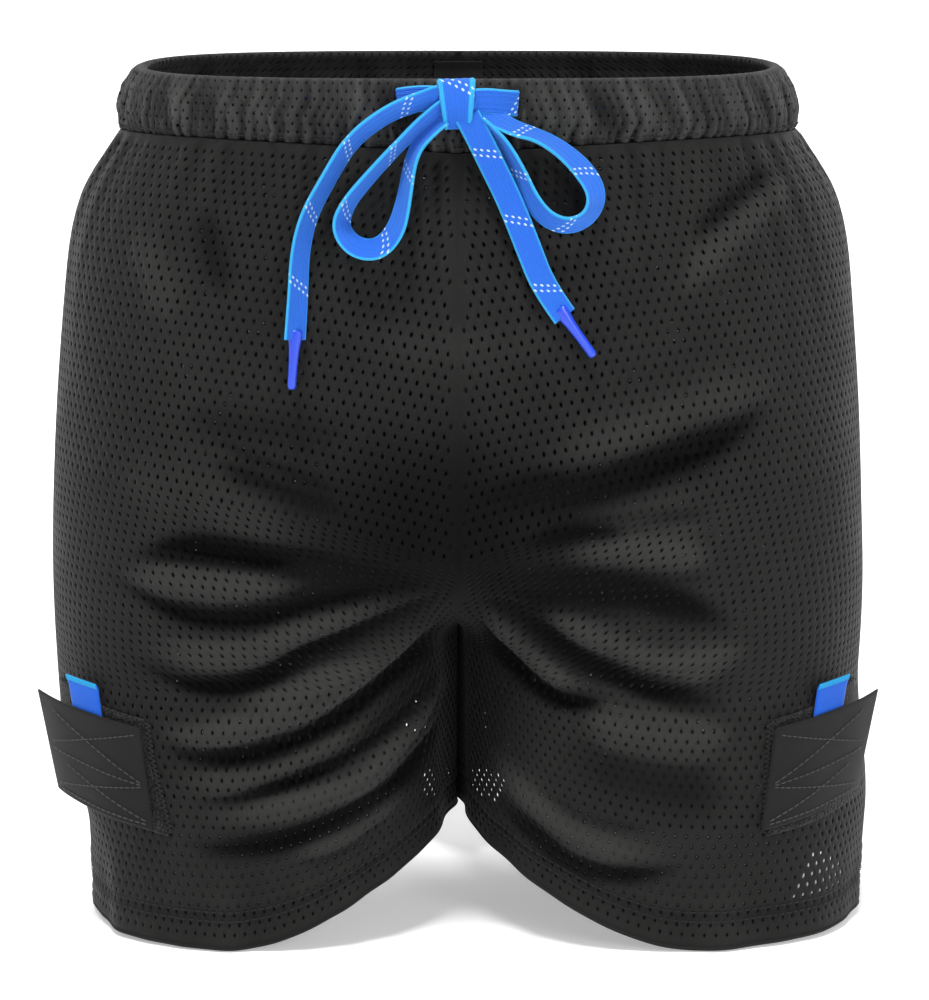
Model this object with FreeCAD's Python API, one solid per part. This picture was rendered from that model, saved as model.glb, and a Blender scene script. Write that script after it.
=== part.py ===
import FreeCAD, Part
import math
import os

# Mesh shorts worn over the hips, with a laced elastic waist, a hook-and-loop sock tab on each
# leg and a pocket inside the front that holds a pelvic cup.
# Millimetres. +Z is up, -Y is the front, and the wearer's right is at -X.
# The origin is the centre of the waist opening, level with the front of its rim.

V = FreeCAD.Vector

# ---- driving sizes: the outline of the garment ---------------------------------------------
rim_width = 288.0          # waist opening, outside, side to side
rim_front = 95.0           # from the side seams' plane to the front of the rim
rim_back = 96.0            # and to the back of the rim
band_swell = 2.7           # how far the gathered waistband swells between rim and seam
band_levels = (0.0, 0.35, 0.7, 1.0)    # shares of its height at which its section bends
back_rise = 6.0            # the rim stands higher at the back

waist_seam_width = 301.0
waist_seam_front = 98.0
waist_seam_back = 100.0
waist_seam_side_drop = 25.0
waist_seam_front_drop = 31.0
waist_seam_back_drop = 21.0

flare_width = 338.0        # just under the waist seam, where the cloth fans out
flare_front = 103.0
flare_back = 108.0
flare_drop = 55.0

yoke_width = 353.0
yoke_front = 105.0
yoke_back = 115.0
yoke_drop = 95.0

hip_width = 366.0
hip_front = 106.0
hip_back = 121.0
hip_drop = 205.0

thigh_width = 360.0
thigh_front = 101.0
thigh_back = 110.0
thigh_drop = 300.0

hem_width = 352.0
hem_front = 99.0
hem_back = 104.0
hem_side_drop = 374.0
hem_inner_drop = 330.0     # the hem is pulled up between the legs
hem_lift_start = 0.45      # share of the way round the leg at which that pull begins
hem_lift_span = 0.45
hem_front_dip = 3.0        # and how far the hem hangs lower at the front and back of the leg

crotch_front_drop = 205.0  # where the front seam leaves the belly and turns under
crotch_back_drop = 198.0
crotch_drop = 246.0
fork_start = 0.415         # share of the side seam at which the legs start to part
fork_end = 0.680           # and at which each leg is a closed tube
waist_squareness = 2.25    # 2 is an ellipse, more is boxier
hip_squareness = 2.7
leg_squareness = 2.5
leg_gap = 1.4              # from the middle plane to each leg's inner wall
leg_gap_start = 0.05       # share of the side seam over which that gap opens

# ---- cloth, seams and hems -------------------------------------------------------------------
cloth = 1.0                # thickness of the mesh cloth
seam_gap = 0.30            # between the cut edges of two neighbouring panels
layer_gap = 0.12           # between layers of cloth that are sewn together
seam_allowance = 8.0       # width of the overlocked allowance inside each seam
seam_thickness = 1.4
seam_clearance = 0.9       # between the panels' edges and the standing allowance at the crotch
hem_height = 19.0

# ---- waistband -------------------------------------------------------------------------------
casing_cloth = 1.0
lace_channel = 2.6         # room for the lace between the casing and the elastic
elastic_thickness = 1.6
elastic_low_share = 0.05   # of the band's height, and where the elastic's upper edge is
elastic_high_share = 0.68
band_gap = 0.25            # clearance on each side of what lies in the casing
floor_height = 2.6         # overlocked floor of the casing, at the waist seam
eyelet_offset = 25.0       # from the middle to each lace buttonhole
eyelet_drop = 9.5
eyelet_slot = (3.0, 13.0)  # width and height of the slot
eyelet_border = 1.6
eyelet_thickness = 0.9

# ---- lace ------------------------------------------------------------------------------------
lace_radius = 2.2          # round stand-in with the section of the flat lace
hidden_lace = (1.7, 10.0)  # thickness and height of the flat lace inside the casing
knot_size = (17.0, 11.0, 20.0)
knot_centre = (0.0, -106.5, -10.0)
knot_rounding = 3.6
aglet_radius = 2.5
aglet_length = 25.0
aglet_grip = 4.0           # how far the lace goes into the aglet
aglet_play = 0.1           # between the lace and the aglet

# Centre lines of the tied lace. Each lead comes out of its buttonhole, passes through the knot
# and is the loop on the other side. Each tail ends in its aglet.
right_lead_and_left_loop = [
    (-25, -99, -9), (-20, -102.8, -8), (-11, -103.4, -7.6), (0, -103.8, -9),
    (9.5, -106, -11.6), (22, -107, -19.5), (33, -106, -22.6), (43.5, -105, -28.6),
    (53.5, -104.8, -38), (58.6, -106, -47.5), (55.6, -107.6, -56.6), (47, -109, -60.8),
    (37.6, -109.6, -58), (30.8, -109.2, -50), (25.8, -107.4, -39), (21, -106.6, -30),
    (15.6, -106.6, -22.4), (9.0, -106.2, -17.8)]
left_lead_and_right_loop = [
    (25, -99, -10), (20, -103.6, -9.6), (11, -108, -8.4), (0, -109, -9.4),
    (-10.5, -107.6, -14.4), (-23.5, -107, -26), (-36.2, -107.2, -39.6), (-46.2, -108.2, -51.4),
    (-49.4, -109, -61), (-43.4, -110.2, -69.2), (-33.4, -111, -70.6), (-25.6, -110.8, -62.6),
    (-22, -109, -48.4), (-19.8, -107.4, -34), (-15.4, -106.8, -24), (-8.8, -106.4, -18.6)]
right_tail = [
    (-7.6, -110, -6.4), (-15, -110.6, -8.2), (-29, -109.2, -13.4), (-44.4, -106, -25),
    (-54, -105, -41), (-62.6, -105.4, -56.6), (-66.2, -105.8, -72), (-67, -106.2, -90),
    (-68.4, -106.4, -108.4)]
left_tail = [
    (6.6, -110.4, -18.6), (9, -110.2, -24), (13.4, -108.6, -33), (21.6, -107.6, -49.4),
    (29.4, -107.6, -69), (36, -107.6, -86), (45, -107.2, -98.4)]

# ---- sock tabs -------------------------------------------------------------------------------
tab_width = 58.0
tab_height = 45.0
tab_lean = 8.0             # degrees that the flap rises towards its free end
tab_edge_tilt = 5.0        # degrees that its sewn edge leans out at the top
tab_hinge_drop = 299.0     # height of the middle of the sewn edge
tab_hinge_x = 133.0        # from the middle plane to the sewn edge
tab_lift = 3.0             # how far the free end stands off the leg
tab_flare = 6.0            # and how much more its top corner does
base_margin = 3.0          # loop patch beyond the flap on each side
base_thickness = 1.4
tab_clearance = 0.35       # between the loop patch and the hook pad
hook_thickness = 1.2
hook_margin = 3.5          # flap beyond the hook pad on each side
flap_thickness = 1.4
stitch_radius = 0.45
pull_width = 16.0
pull_showing = 13.0        # how far the pull stands above the flap
pull_tucked = 6.0
pull_inset = 22.0          # from the flap's free edge to the pull
pull_thickness = 1.1
anchor_width = 3.0
anchor_height_extra = 1.0

# ---- cup pocket and cup ----------------------------------------------------------------------
cup_half_width = 44.0
cup_half_height = 56.0
cup_depth = 35.0
cup_wall = 3.0
cup_rim_y = -51.0          # plane of the cup's rim
cup_centre_drop = 124.0
vent_radius = 3.0
vent_pitch = 15.0
cushion_overhang = 4.0     # how far the soft edge stands out round the cup
cushion_width = 10.0
cushion_thickness = 5.0
cushion_rounding = 1.8
cushion_gap = 0.2
pocket_half_width = 64.0
pocket_mouth_drop = 56.0
pocket_bottom_drop = 204.0
pocket_cloth = 0.8
pocket_depth = 65.0        # from the front cloth to the back layer, at the mouth
pocket_clearance = 0.5     # behind the centre seam
pocket_bottom_squareness = 10
pocket_side_squareness = 3
binding_height = 8.0
binding_thickness = 0.8
binding_gap = 0.7

# ---- label -----------------------------------------------------------------------------------
label_size = (24.0, 0.6, 17.0)

ROWS = 33                  # sampled rows of a panel
COLUMNS = 21               # sampled points along a row


# ---- shape of the cloth ------------------------------------------------------------------------
def smoothstep(t):
    t = min(1.0, max(0.0, t))
    return t * t * (3.0 - 2.0 * t)


def through(stations, x):
    """Smooth curve through (x, value) stations, with x falling from first to last."""
    points = sorted(stations)
    if x <= points[0][0]:
        return points[0][1]
    if x >= points[-1][0]:
        return points[-1][1]
    index = max(i for i in range(len(points) - 1) if points[i][0] <= x)
    x0, y0 = points[index]
    x1, y1 = points[index + 1]

    def slope(i):
        if i == 0 or i == len(points) - 1:
            a, b = (0, 1) if i == 0 else (i - 1, i)
        else:
            a, b = i - 1, i + 1
        return (points[b][1] - points[a][1]) / (points[b][0] - points[a][0])

    span = x1 - x0
    t = (x - x0) / span
    h00 = (1 + 2 * t) * (1 - t) ** 2
    h10 = t * (1 - t) ** 2
    h01 = t * t * (3 - 2 * t)
    h11 = t * t * (t - 1)
    return h00 * y0 + h10 * span * slope(index) + h01 * y1 + h11 * span * slope(index + 1)


def stations(side, flare, yoke, hip, thigh, hem):
    return [(-waist_seam_side_drop, side), (-flare_drop, flare), (-yoke_drop, yoke),
            (-hip_drop, hip), (-thigh_drop, thigh), (-hem_side_drop, hem)]


half_widths = stations(waist_seam_width / 2, flare_width / 2, yoke_width / 2,
                       hip_width / 2, thigh_width / 2, hem_width / 2)
front_depths = stations(waist_seam_front, flare_front, yoke_front,
                        hip_front, thigh_front, hem_front)
back_depths = stations(waist_seam_back, flare_back, yoke_back,
                       hip_back, thigh_back, hem_back)


squarenesses = stations(waist_squareness, waist_squareness, (waist_squareness + hip_squareness) / 2,
                        hip_squareness, hip_squareness, hip_squareness)


def superellipse(angle, squareness):
    """Unit rounded outline in polar form: (cosine side, sine side)."""
    c = math.cos(angle)
    s = math.sin(angle)
    r = (abs(c) ** squareness + abs(s) ** squareness) ** (-1.0 / squareness)
    return c * r, s * r


def cloth_point(around, down):
    """Outer face of the half at -X.

    around: 0 is the side seam, 1 the middle front and then the inseam, -1 the middle back.
    down: 0 is the waist seam, 1 the hem.
    """
    front = around >= 0
    u = abs(around)
    side_z = -waist_seam_side_drop - down * (hem_side_drop - waist_seam_side_drop)
    width = through(half_widths, side_z)
    depth = through(front_depths if front else back_depths, side_z)
    top = -waist_seam_front_drop if front else -waist_seam_back_drop
    turn = -crotch_front_drop if front else -crotch_back_drop

    # The crotch curve is a quarter ellipse, from the belly or the seat to the crotch point.
    fork = min(1.0, max(0.0, (down - fork_start) / (fork_end - fork_start))) ** 1.5
    if down < fork_start:
        inner_z = top + (turn - top) * down / fork_start
    elif down < fork_end:
        inner_z = turn + (-crotch_drop - turn) * math.sin(math.pi / 2 * fork)
    else:
        share = (down - fork_end) / (1 - fork_end)
        inner_z = -crotch_drop - share * (hem_inner_drop - crotch_drop)

    # Each row is part of a rounded outline that runs from the side seam to the middle plane.
    # parted is 0 where the outline is round the whole body and 1 where it is round one leg.
    body_squareness = through(squarenesses, side_z)
    reach = max(0.0, 1 - math.cos(math.pi / 2 * fork) ** body_squareness)
    reach = reach ** (1 / body_squareness)
    parted = 2 * reach / (1 + reach)
    squareness = body_squareness + (leg_squareness - body_squareness) * parted
    centre = -width * parted / 2
    half = width + centre
    if parted > 0:
        slope = max(0.0, (half / -centre) ** squareness - 1) ** (1 / squareness)
        sweep = math.pi - math.atan(slope)
    else:
        sweep = math.pi / 2
    c, s = superellipse(sweep * u, squareness)
    x = centre - half * c
    x -= leg_gap * smoothstep((down - fork_end) / leg_gap_start) * (1 + x / width)
    y = depth * s
    open_leg = smoothstep((down - fork_start) / (1 - fork_start))
    lift = u ** 3 + (smoothstep((u - hem_lift_start) / hem_lift_span) - u ** 3) * open_leg
    z = side_z + (inner_z - side_z) * lift - hem_front_dip * open_leg * math.sin(math.pi * u) ** 2
    return V(x, -y if front else y, z)


def normal_of(surface, a, b):
    """Unit normal of surface(a, b), pointing out of the garment on the -X half."""
    step = 1e-4
    da = surface(a + step, b) - surface(a - step, b)
    db = surface(a, b + step) - surface(a, b - step)
    n = db.cross(da)
    n.normalize()
    return n


def cloth_offset(around, down, out):
    """Point of the -X half at a distance out of its outer face, negative being inside."""
    u = min(0.9995, max(-0.9995, around))
    return cloth_point(around, down) + normal_of(cloth_point, u, down) * out


def band_point(turn, height):
    """Outer face of the waistband. turn: 0 is the +X side, 90 degrees the back. height: 0 seam, 1 rim."""
    c, s = superellipse(math.radians(turn), waist_squareness)
    round_share = 1 - abs((turn + 360.0) % 180.0 - 90.0) / 90.0
    low_share, high_share = band_levels[1], 1 - band_levels[2]
    swell = band_swell * max(0.0, min(1.0, height / low_share, (1 - height) / high_share))
    half = (waist_seam_width + (rim_width - waist_seam_width) * height) / 2 + swell
    if s > 0:
        depth = waist_seam_back + (rim_back - waist_seam_back) * height + swell
    else:
        depth = waist_seam_front + (rim_front - waist_seam_front) * height + swell
    middle_drop = waist_seam_back_drop if s > 0 else waist_seam_front_drop
    low = -waist_seam_side_drop + (waist_seam_side_drop - middle_drop) * round_share ** 3
    low += band_gap
    high = back_rise * (1 - math.cos(math.pi * (1 + s) / 2)) / 2
    return V(half * c, depth * s, low + (high - low) * height)


def band_offset(turn, height, out):
    step = 1e-3
    d = band_point(turn + step, height) - band_point(turn - step, height)
    n = V(d.y, -d.x, 0)
    n.normalize()
    return band_point(turn, height) + n * out


# ---- solids from faces -------------------------------------------------------------------------
def face_through(grid):
    surface = Part.BSplineSurface()
    surface.interpolate(grid)
    return surface


def boundary(surface):
    """The four edge curves of a patch, in order round it."""
    u0, u1, v0, v1 = surface.bounds()
    return [surface.uIso(u0), surface.vIso(v1), surface.uIso(u1), surface.vIso(v0)]


def solid_of(faces):
    shell = Part.Shell(faces)
    shell.sewShape(1e-3)
    solid = Part.Solid(shell)
    if solid.Volume < 0:
        solid.reverse()
    return solid


def sheet_solid(point, a_values, b_values, low, high):
    """Closed sheet between point(a, b, low) and point(a, b, high)."""
    faces = []
    rims = []
    for out in (low, high):
        grid = [[point(a, b, out) for b in b_values] for a in a_values]
        surface = face_through(grid)
        faces.append(surface.toShape())
        rims.append(boundary(surface))
    for inner, outer in zip(rims[0], rims[1]):
        faces.append(inner.makeRuledSurface(outer).toShape())
    return solid_of(faces)


def spread(first, last, count):
    return [first + (last - first) * i / (count - 1) for i in range(count)]


def ring_solid(corners, turns):
    """Ring whose section is a closed polygon: corners(turn) gives its points, in order."""
    loops = []
    sections = [corners(turn) for turn in turns]
    for index in range(len(sections[0])):
        curve = Part.BSplineCurve()
        curve.interpolate([section[index] for section in sections], PeriodicFlag=True)
        loops.append(curve)
    faces = []
    for index, loop in enumerate(loops):
        faces.append(loop.makeRuledSurface(loops[(index + 1) % len(loops)]).toShape())
    return solid_of(faces)


def arc_solid(corners, turns):
    """The same with two closed ends. The first half of the corners faces the second half."""
    sections = [corners(turn) for turn in turns]
    edges = []
    for index in range(len(sections[0])):
        curve = Part.BSplineCurve()
        curve.interpolate([section[index] for section in sections])
        edges.append(curve)
    faces = []
    for index, edge in enumerate(edges):
        faces.append(edge.makeRuledSurface(edges[(index + 1) % len(edges)]).toShape())
    for section in (sections[0], sections[-1]):
        for index in range(len(section) // 2 - 1):
            outer = Part.LineSegment(section[index], section[index + 1]).toBSpline()
            inner = Part.LineSegment(section[-1 - index], section[-2 - index]).toBSpline()
            faces.append(outer.makeRuledSurface(inner).toShape())
    return solid_of(faces)


def mirrored(shape):
    return shape.mirror(V(0, 0, 0), V(1, 0, 0))


nodes = {}


def add(name, shape):
    nodes[name] = shape


def add_pair(name, shape):
    """A piece of the wearer's right leg, at -X, and its mirror image."""
    add("right_" + name, shape)
    add("left_" + name, mirrored(shape))


# ---- panels, seams and hems --------------------------------------------------------------------
half_gap = seam_gap / 2 / 280.0      # as a share of the way from side seam to middle
side_edge = half_gap
middle_edge = 1 - half_gap
columns = spread(side_edge, middle_edge, COLUMNS)
rows = spread(0.0, 1.0, ROWS)

add_pair("front_panel", sheet_solid(cloth_offset, columns, rows, -cloth, 0.0))
back_columns = [-u for u in columns]
add_pair("back_panel", sheet_solid(cloth_offset, back_columns, rows, -cloth, 0.0))

allowance_top = -cloth - layer_gap
allowance_low = allowance_top - seam_thickness
side_half = seam_allowance / 2 / 280.0
below_floor = 0.04                   # seams start under the casing's floor
above_hem = 1 - (hem_height + 2.0) / (hem_side_drop - waist_seam_side_drop)
side_rows = spread(below_floor, above_hem, 17)
add_pair("side_seam", sheet_solid(cloth_offset, spread(-side_half, side_half, 4),
                                  side_rows, allowance_low, allowance_top))


def middle_seam(sign):
    """Overlocked seam down the middle front or back, from the waist to the crotch."""
    inner = sign * (1 - side_half)
    outer = sign * (1 - half_gap)
    part = sheet_solid(cloth_offset, spread(inner, outer, 4),
                       spread(below_floor, fork_start, 11), allowance_low, allowance_top)
    return Part.makeCompound([part, mirrored(part)])


add("centre_front_seam", middle_seam(1))
add("centre_back_seam", middle_seam(-1))


def fork_seam(sign):
    """The same seam where it turns under: both allowances stand up inside, overlocked as one."""
    def point(down, height, x):
        place = sign * middle_edge
        curve = cloth_point(sign, down)
        along = cloth_point(sign, down + 1e-3) - cloth_point(sign, down - 1e-3)
        inward = V(0, -along.z, along.y) * sign
        inward.normalize()
        tilt = normal_of(cloth_point, place, down).x
        start = cloth * math.sqrt(max(0.0, 1 - tilt ** 2)) + seam_clearance
        return V(x, curve.y, curve.z) + inward * (start + height)
    first = fork_start + 0.04
    length = fork_end - 0.01 - first
    downs = [first + length * t ** 0.75 for t in spread(0.0, 1.0, 7)]
    return sheet_solid(point, downs, [0.0, seam_allowance], -cloth, cloth)


add("crotch_seam", Part.makeCompound([fork_seam(1), fork_seam(-1)]))


def inseam():
    """Overlocked seam down the inside of the leg, one allowance on each side of it."""
    strips = []
    for sign in (1, -1):
        inner = sign * (1 - side_half)
        outer = sign * (1 - half_gap)
        strips.append(sheet_solid(cloth_offset, spread(inner, outer, 4),
                                  spread(fork_end + 0.02, above_hem, 9),
                                  allowance_low, allowance_top))
    return Part.makeCompound(strips)


add_pair("inseam", inseam())

hem_rows = spread(above_hem + 2.0 / (hem_side_drop - waist_seam_side_drop), 0.998, 5)
hem_parts = [sheet_solid(cloth_offset, [sign * u for u in columns], hem_rows,
                         allowance_low, allowance_top) for sign in (1, -1)]
add_pair("leg_hem", Part.makeCompound(hem_parts))

# ---- waistband ---------------------------------------------------------------------------------
RING = 48                  # sampled sections round the waist
turns = [360.0 * i / RING for i in range(RING)]

channel_outer = -casing_cloth - band_gap
channel_inner = channel_outer - lace_channel
elastic_outer = channel_inner - band_gap
elastic_inner = elastic_outer - elastic_thickness
lining_outer = elastic_inner - band_gap
lining_inner = lining_outer - casing_cloth


def casing_corners(turn):
    """Outer wall, fold over the rim and inner wall of the casing, one folded strip."""
    fold = 1 - casing_cloth / waist_seam_front_drop
    rising = (*band_levels[:-1], fold)
    falling = rising[::-1]
    return ([band_offset(turn, level, 0.0) for level in rising]
            + [band_offset(turn, 1.0, -casing_cloth), band_offset(turn, 1.0, lining_outer)]
            + [band_offset(turn, level, lining_inner) for level in falling]
            + [band_offset(turn, level, lining_outer) for level in rising]
            + [band_offset(turn, level, -casing_cloth) for level in falling])


casing = ring_solid(casing_corners, turns)


def band_corners(levels, inner, outer):
    """Section of a flat band that stands in the casing and bends where the casing bends."""
    def corners(turn):
        return ([band_offset(turn, level, outer) for level in levels]
                + [band_offset(turn, level, inner) for level in levels[::-1]])
    return corners


elastic_levels = (elastic_low_share, band_levels[1], elastic_high_share)
add("waistband_elastic", ring_solid(band_corners(elastic_levels, elastic_inner, elastic_outer),
                                    turns))
floor_levels = (-(layer_gap + floor_height) / waist_seam_front_drop,
                -layer_gap / waist_seam_front_drop)
add("waist_seam", ring_solid(band_corners(floor_levels, lining_inner,
                                          -cloth - layer_gap - casing_cloth), turns))


def buttonhole(x):
    """Slot through the front of the casing, and the satin-stitched border round it."""
    width, height = eyelet_slot
    z = -eyelet_drop
    slot = Part.makeBox(width, 12, height, V(x - width / 2, -rim_front - 10, z - height / 2))
    turn = 270 + math.degrees(math.asin(x / (waist_seam_width / 2)))
    half_turn = math.degrees((width / 2 + eyelet_border) / (waist_seam_width / 2))
    base = band_point(turn, 0.0).z
    tall = band_point(turn, 1.0).z - base
    low = (z - height / 2 - eyelet_border - base) / tall
    high = (z + height / 2 + eyelet_border - base) / tall
    border = sheet_solid(band_offset, spread(turn - half_turn, turn + half_turn, 5),
                         spread(low, high, 9), band_gap, band_gap + eyelet_thickness)
    return slot, border.cut(slot)


slots = []
for sign, side in ((-1, "right"), (1, "left")):
    slot, border = buttonhole(sign * eyelet_offset)
    slots.append(slot)
    add(side + "_lace_eyelet", border)
add("waistband_casing", casing.cut(Part.makeCompound(slots)))

# The lace runs flat inside the casing, from one buttonhole round the back to the other.
lace_out = channel_outer - (lace_channel - hidden_lace[0]) / 2
lace_middle = 1 - eyelet_drop / waist_seam_front_drop
lace_share = hidden_lace[1] / 2 / waist_seam_front_drop
lace_levels = (lace_middle - lace_share, band_levels[2], lace_middle + lace_share)
hidden_corners = band_corners(lace_levels, lace_out - hidden_lace[0], lace_out)
eyelet_turn = math.degrees(math.asin(eyelet_offset / (waist_seam_width / 2)))
add("lace_in_casing", arc_solid(hidden_corners, spread(-90 + eyelet_turn, 270 - eyelet_turn, RING)))


# ---- tied lace ---------------------------------------------------------------------------------
def rounded_path(points):
    """Straight runs joined by tangent arcs as large as the two runs allow."""
    points = [V(*p) for p in points]
    edges = []
    radii = []
    start = points[0]
    for before, corner, after in zip(points, points[1:], points[2:]):
        back = (before - corner)
        ahead = (after - corner)
        shorter = min(back.Length, ahead.Length)
        turn = math.pi - back.getAngle(ahead)
        cut = 0.45 * shorter
        radii.append(cut / math.tan(turn / 2))
        back.normalize()
        ahead.normalize()
        first = corner + back * cut
        last = corner + ahead * cut
        middle = back + ahead
        middle.normalize()
        reach = radii[-1] / math.cos(turn / 2) - radii[-1]
        edges.append(Part.LineSegment(start, first).toShape())
        edges.append(Part.Arc(first, corner + middle * reach, last).toShape())
        start = last
    edges.append(Part.LineSegment(start, points[-1]).toShape())
    return Part.Wire(edges), radii


def tube(name, points, radius):
    path, radii = rounded_path(points)
    start = V(*points[0])
    direction = V(*points[1]) - start
    profile = Part.Wire(Part.makeCircle(radius, start, direction))
    solid = path.makePipeShell([profile], True, False)
    expected = math.pi * radius ** 2 * path.Length
    print(name, "length", round(path.Length, 1), "volume ratio", round(solid.Volume / expected, 4),
          "radii", [round(r, 1) for r in radii])
    return solid


add("lace_right_lead_left_loop", tube("lace_right_lead_left_loop",
                                      right_lead_and_left_loop, lace_radius))
add("lace_left_lead_right_loop", tube("lace_left_lead_right_loop",
                                      left_lead_and_right_loop, lace_radius))


def knot():
    width, depth, height = knot_size
    corner = V(knot_centre[0] - width / 2, knot_centre[1] - depth / 2, knot_centre[2] - height / 2)
    block = Part.makeBox(width, depth, height, corner)
    return block.makeFillet(knot_rounding, block.Edges)


add("lace_knot", knot())


def aglet(tail):
    """Plastic sleeve round the end of a tail, with a rounded tip."""
    end = V(*tail[-1])
    direction = end - V(*tail[-2])
    direction.normalize()
    base = end - direction * aglet_grip
    body = Part.makeCylinder(aglet_radius, aglet_length, base, direction)
    body = body.makeFillet(aglet_radius * 0.6, [max(body.Edges, key=lambda e: (e.CenterOfMass - base).Length)])
    socket = Part.makeCylinder(lace_radius + aglet_play, aglet_grip, base, direction)
    return body.cut(socket)


for side, tail in (("right", right_tail), ("left", left_tail)):
    add("lace_" + side + "_tail", tube("lace_" + side + "_tail", tail, lace_radius))
    add(side + "_aglet", aglet(tail))


# ---- sock tabs ---------------------------------------------------------------------------------
down_of_hinge = (tab_hinge_drop - waist_seam_side_drop) / (hem_side_drop - waist_seam_side_drop)


def around_of(x):
    """Place round the front of the leg at the tab's height, for a distance from the middle."""
    low, high = 0.0, 0.6
    for _ in range(50):
        middle = (low + high) / 2
        if -cloth_point(middle, down_of_hinge).x > x:
            low = middle
        else:
            high = middle
    return (low + high) / 2


hinge_around = around_of(tab_hinge_x)
arc_step = 0.002
arc_table = [(0.0, hinge_around + 0.1)]
while arc_table[-1][1] > -0.25:
    length, place = arc_table[-1]
    step = (cloth_point(place - arc_step, down_of_hinge) - cloth_point(place, down_of_hinge)).Length
    arc_table.append((length + step, place - arc_step))
arc_at_hinge = min(arc_table, key=lambda row: abs(row[1] - hinge_around))[0]


def around_at(arc):
    """Place round the leg at a distance along it from the sewn edge."""
    wanted = arc + arc_at_hinge
    for (a0, p0), (a1, p1) in zip(arc_table, arc_table[1:]):
        if a0 <= wanted <= a1:
            return p0 + (p1 - p0) * (wanted - a0) / (a1 - a0)
    raise ValueError("outside the leg")


lean = math.radians(tab_lean)
edge_tilt = math.radians(tab_edge_tilt)


def tab_point(along, up, out):
    """Point over the right leg's tab: along from the sewn edge, up from mid-height."""
    arc = along * math.cos(lean) + up * math.sin(edge_tilt)
    rise = along * math.sin(lean) + up * math.cos(edge_tilt)
    down = down_of_hinge - rise / (hem_side_drop - waist_seam_side_drop)
    return cloth_offset(around_at(arc), down, out)


def flap_point(along, up, out):
    """The same on the flap, whose free end stands off the leg, most at its top corner."""
    share = max(0.0, along / tab_width)
    high = max(0.0, up / tab_height + 0.5)
    return tab_point(along, up, out + (tab_lift + tab_flare * high) * share ** 2)


def patch(point, along, up, out, counts=(9, 9)):
    return sheet_solid(point, spread(along[0], along[1], counts[0]),
                       spread(up[0], up[1], counts[1]), out[0], out[1])


half_tab = tab_height / 2
base_out = (layer_gap, layer_gap + base_thickness)
hook_out = (base_out[1] + tab_clearance, base_out[1] + tab_clearance + hook_thickness)
flap_out = (hook_out[1] + layer_gap, hook_out[1] + layer_gap + flap_thickness)
stitch_out = (flap_out[1] + 0.02, flap_out[1] + 0.02 + stitch_radius)

add_pair("tab_loop_patch", patch(tab_point, (0.0, tab_width + base_margin),
                                 (-half_tab - base_margin, half_tab + base_margin), base_out))
anchor_low = -half_tab - anchor_height_extra
anchor_high = half_tab + anchor_height_extra
add_pair("tab_bar_tack", patch(tab_point, (-0.5 - anchor_width, -0.5), (anchor_low, anchor_high),
                               base_out, (3, 9)))
pull_low = half_tab - pull_tucked
hook_high = pull_low - 0.5
add_pair("tab_hook_pad", patch(flap_point, (hook_margin, tab_width - hook_margin),
                               (-half_tab + hook_margin, hook_high), hook_out))
add_pair("tab_flap", patch(flap_point, (0.0, tab_width), (-half_tab, half_tab), flap_out))
pull_end = tab_width - pull_inset
add_pair("tab_pull", patch(flap_point, (pull_end - pull_width, pull_end),
                           (pull_low, half_tab + pull_showing), hook_out))

# Rows of stitches that hold the hook pad, as shares of the flap's width and height.
flat_rows = [((0.05, 0.92), (0.93, 0.52)), ((0.05, 0.43), (0.90, 0.47)), ((0.05, 0.05), (0.90, 0.06))]
slanted_rows = [((0.05, 0.45), (0.84, 0.90)), ((0.05, 0.41), (0.93, 0.10)), ((0.05, 0.08), (0.80, 0.38))]


def stitch_row(ends, out):
    (a0, b0), (a1, b1) = ends
    start = (a0 * tab_width, (b0 - 0.5) * tab_height)
    end = (a1 * tab_width, (b1 - 0.5) * tab_height)
    length = math.hypot(end[0] - start[0], end[1] - start[1])
    across = (-(end[1] - start[1]) / length, (end[0] - start[0]) / length)

    def point(t, side, level):
        return flap_point(start[0] + (end[0] - start[0]) * t + across[0] * side,
                          start[1] + (end[1] - start[1]) * t + across[1] * side, level)
    return sheet_solid(point, spread(0, 1, 9), [-stitch_radius, 0, stitch_radius], out[0], out[1])


upper_out = (stitch_out[1] + 0.02, stitch_out[1] + 0.02 + stitch_radius)
stitching = [stitch_row(ends, stitch_out) for ends in flat_rows]
stitching += [stitch_row(ends, upper_out) for ends in slanted_rows]
add_pair("tab_stitching", Part.makeCompound(stitching))

hinge_low = tab_point(0.0, -half_tab, flap_out[1])
hinge_high = tab_point(0.0, half_tab, flap_out[1])
print("right tab hinge", hinge_low, hinge_high)


# ---- cup pocket and cup ------------------------------------------------------------------------
def front_y(x, z):
    """Outer face of the front cloth over the belly, found by closing in on the place there."""
    around, down = 0.5, 0.3
    step = 1e-3
    for _ in range(6):
        here = cloth_point(around, down)
        by_around = (cloth_point(around + step, down) - here) * (1 / step)
        by_down = (cloth_point(around, down + step) - here) * (1 / step)
        miss_x, miss_z = -abs(x) - here.x, z - here.z
        size = by_around.x * by_down.z - by_around.z * by_down.x
        around += (miss_x * by_down.z - miss_z * by_down.x) / size
        down += (by_around.x * miss_z - by_around.z * miss_x) / size
        around = min(1.0 - step, max(0.05, around))
    return cloth_point(around, down).y


pocket_front_y = cloth + layer_gap + seam_thickness + pocket_clearance


def pocket_half(q):
    return pocket_half_width * (1 - 0.35 * q ** 4)


def pocket_front(p, q, out):
    x = pocket_half(q) * p
    z = -pocket_mouth_drop - (pocket_bottom_drop - pocket_mouth_drop) * q
    return V(x, front_y(x, z) + pocket_front_y - out, z)


def pocket_back(p, q, out):
    near = pocket_front(p, q, -pocket_cloth - layer_gap)
    closing = (1 - q ** pocket_bottom_squareness) ** 0.5
    across = (1 - abs(p) ** pocket_side_squareness) ** (1 / pocket_side_squareness)
    return near + V(0, pocket_depth * closing * across - out, 0)


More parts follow.
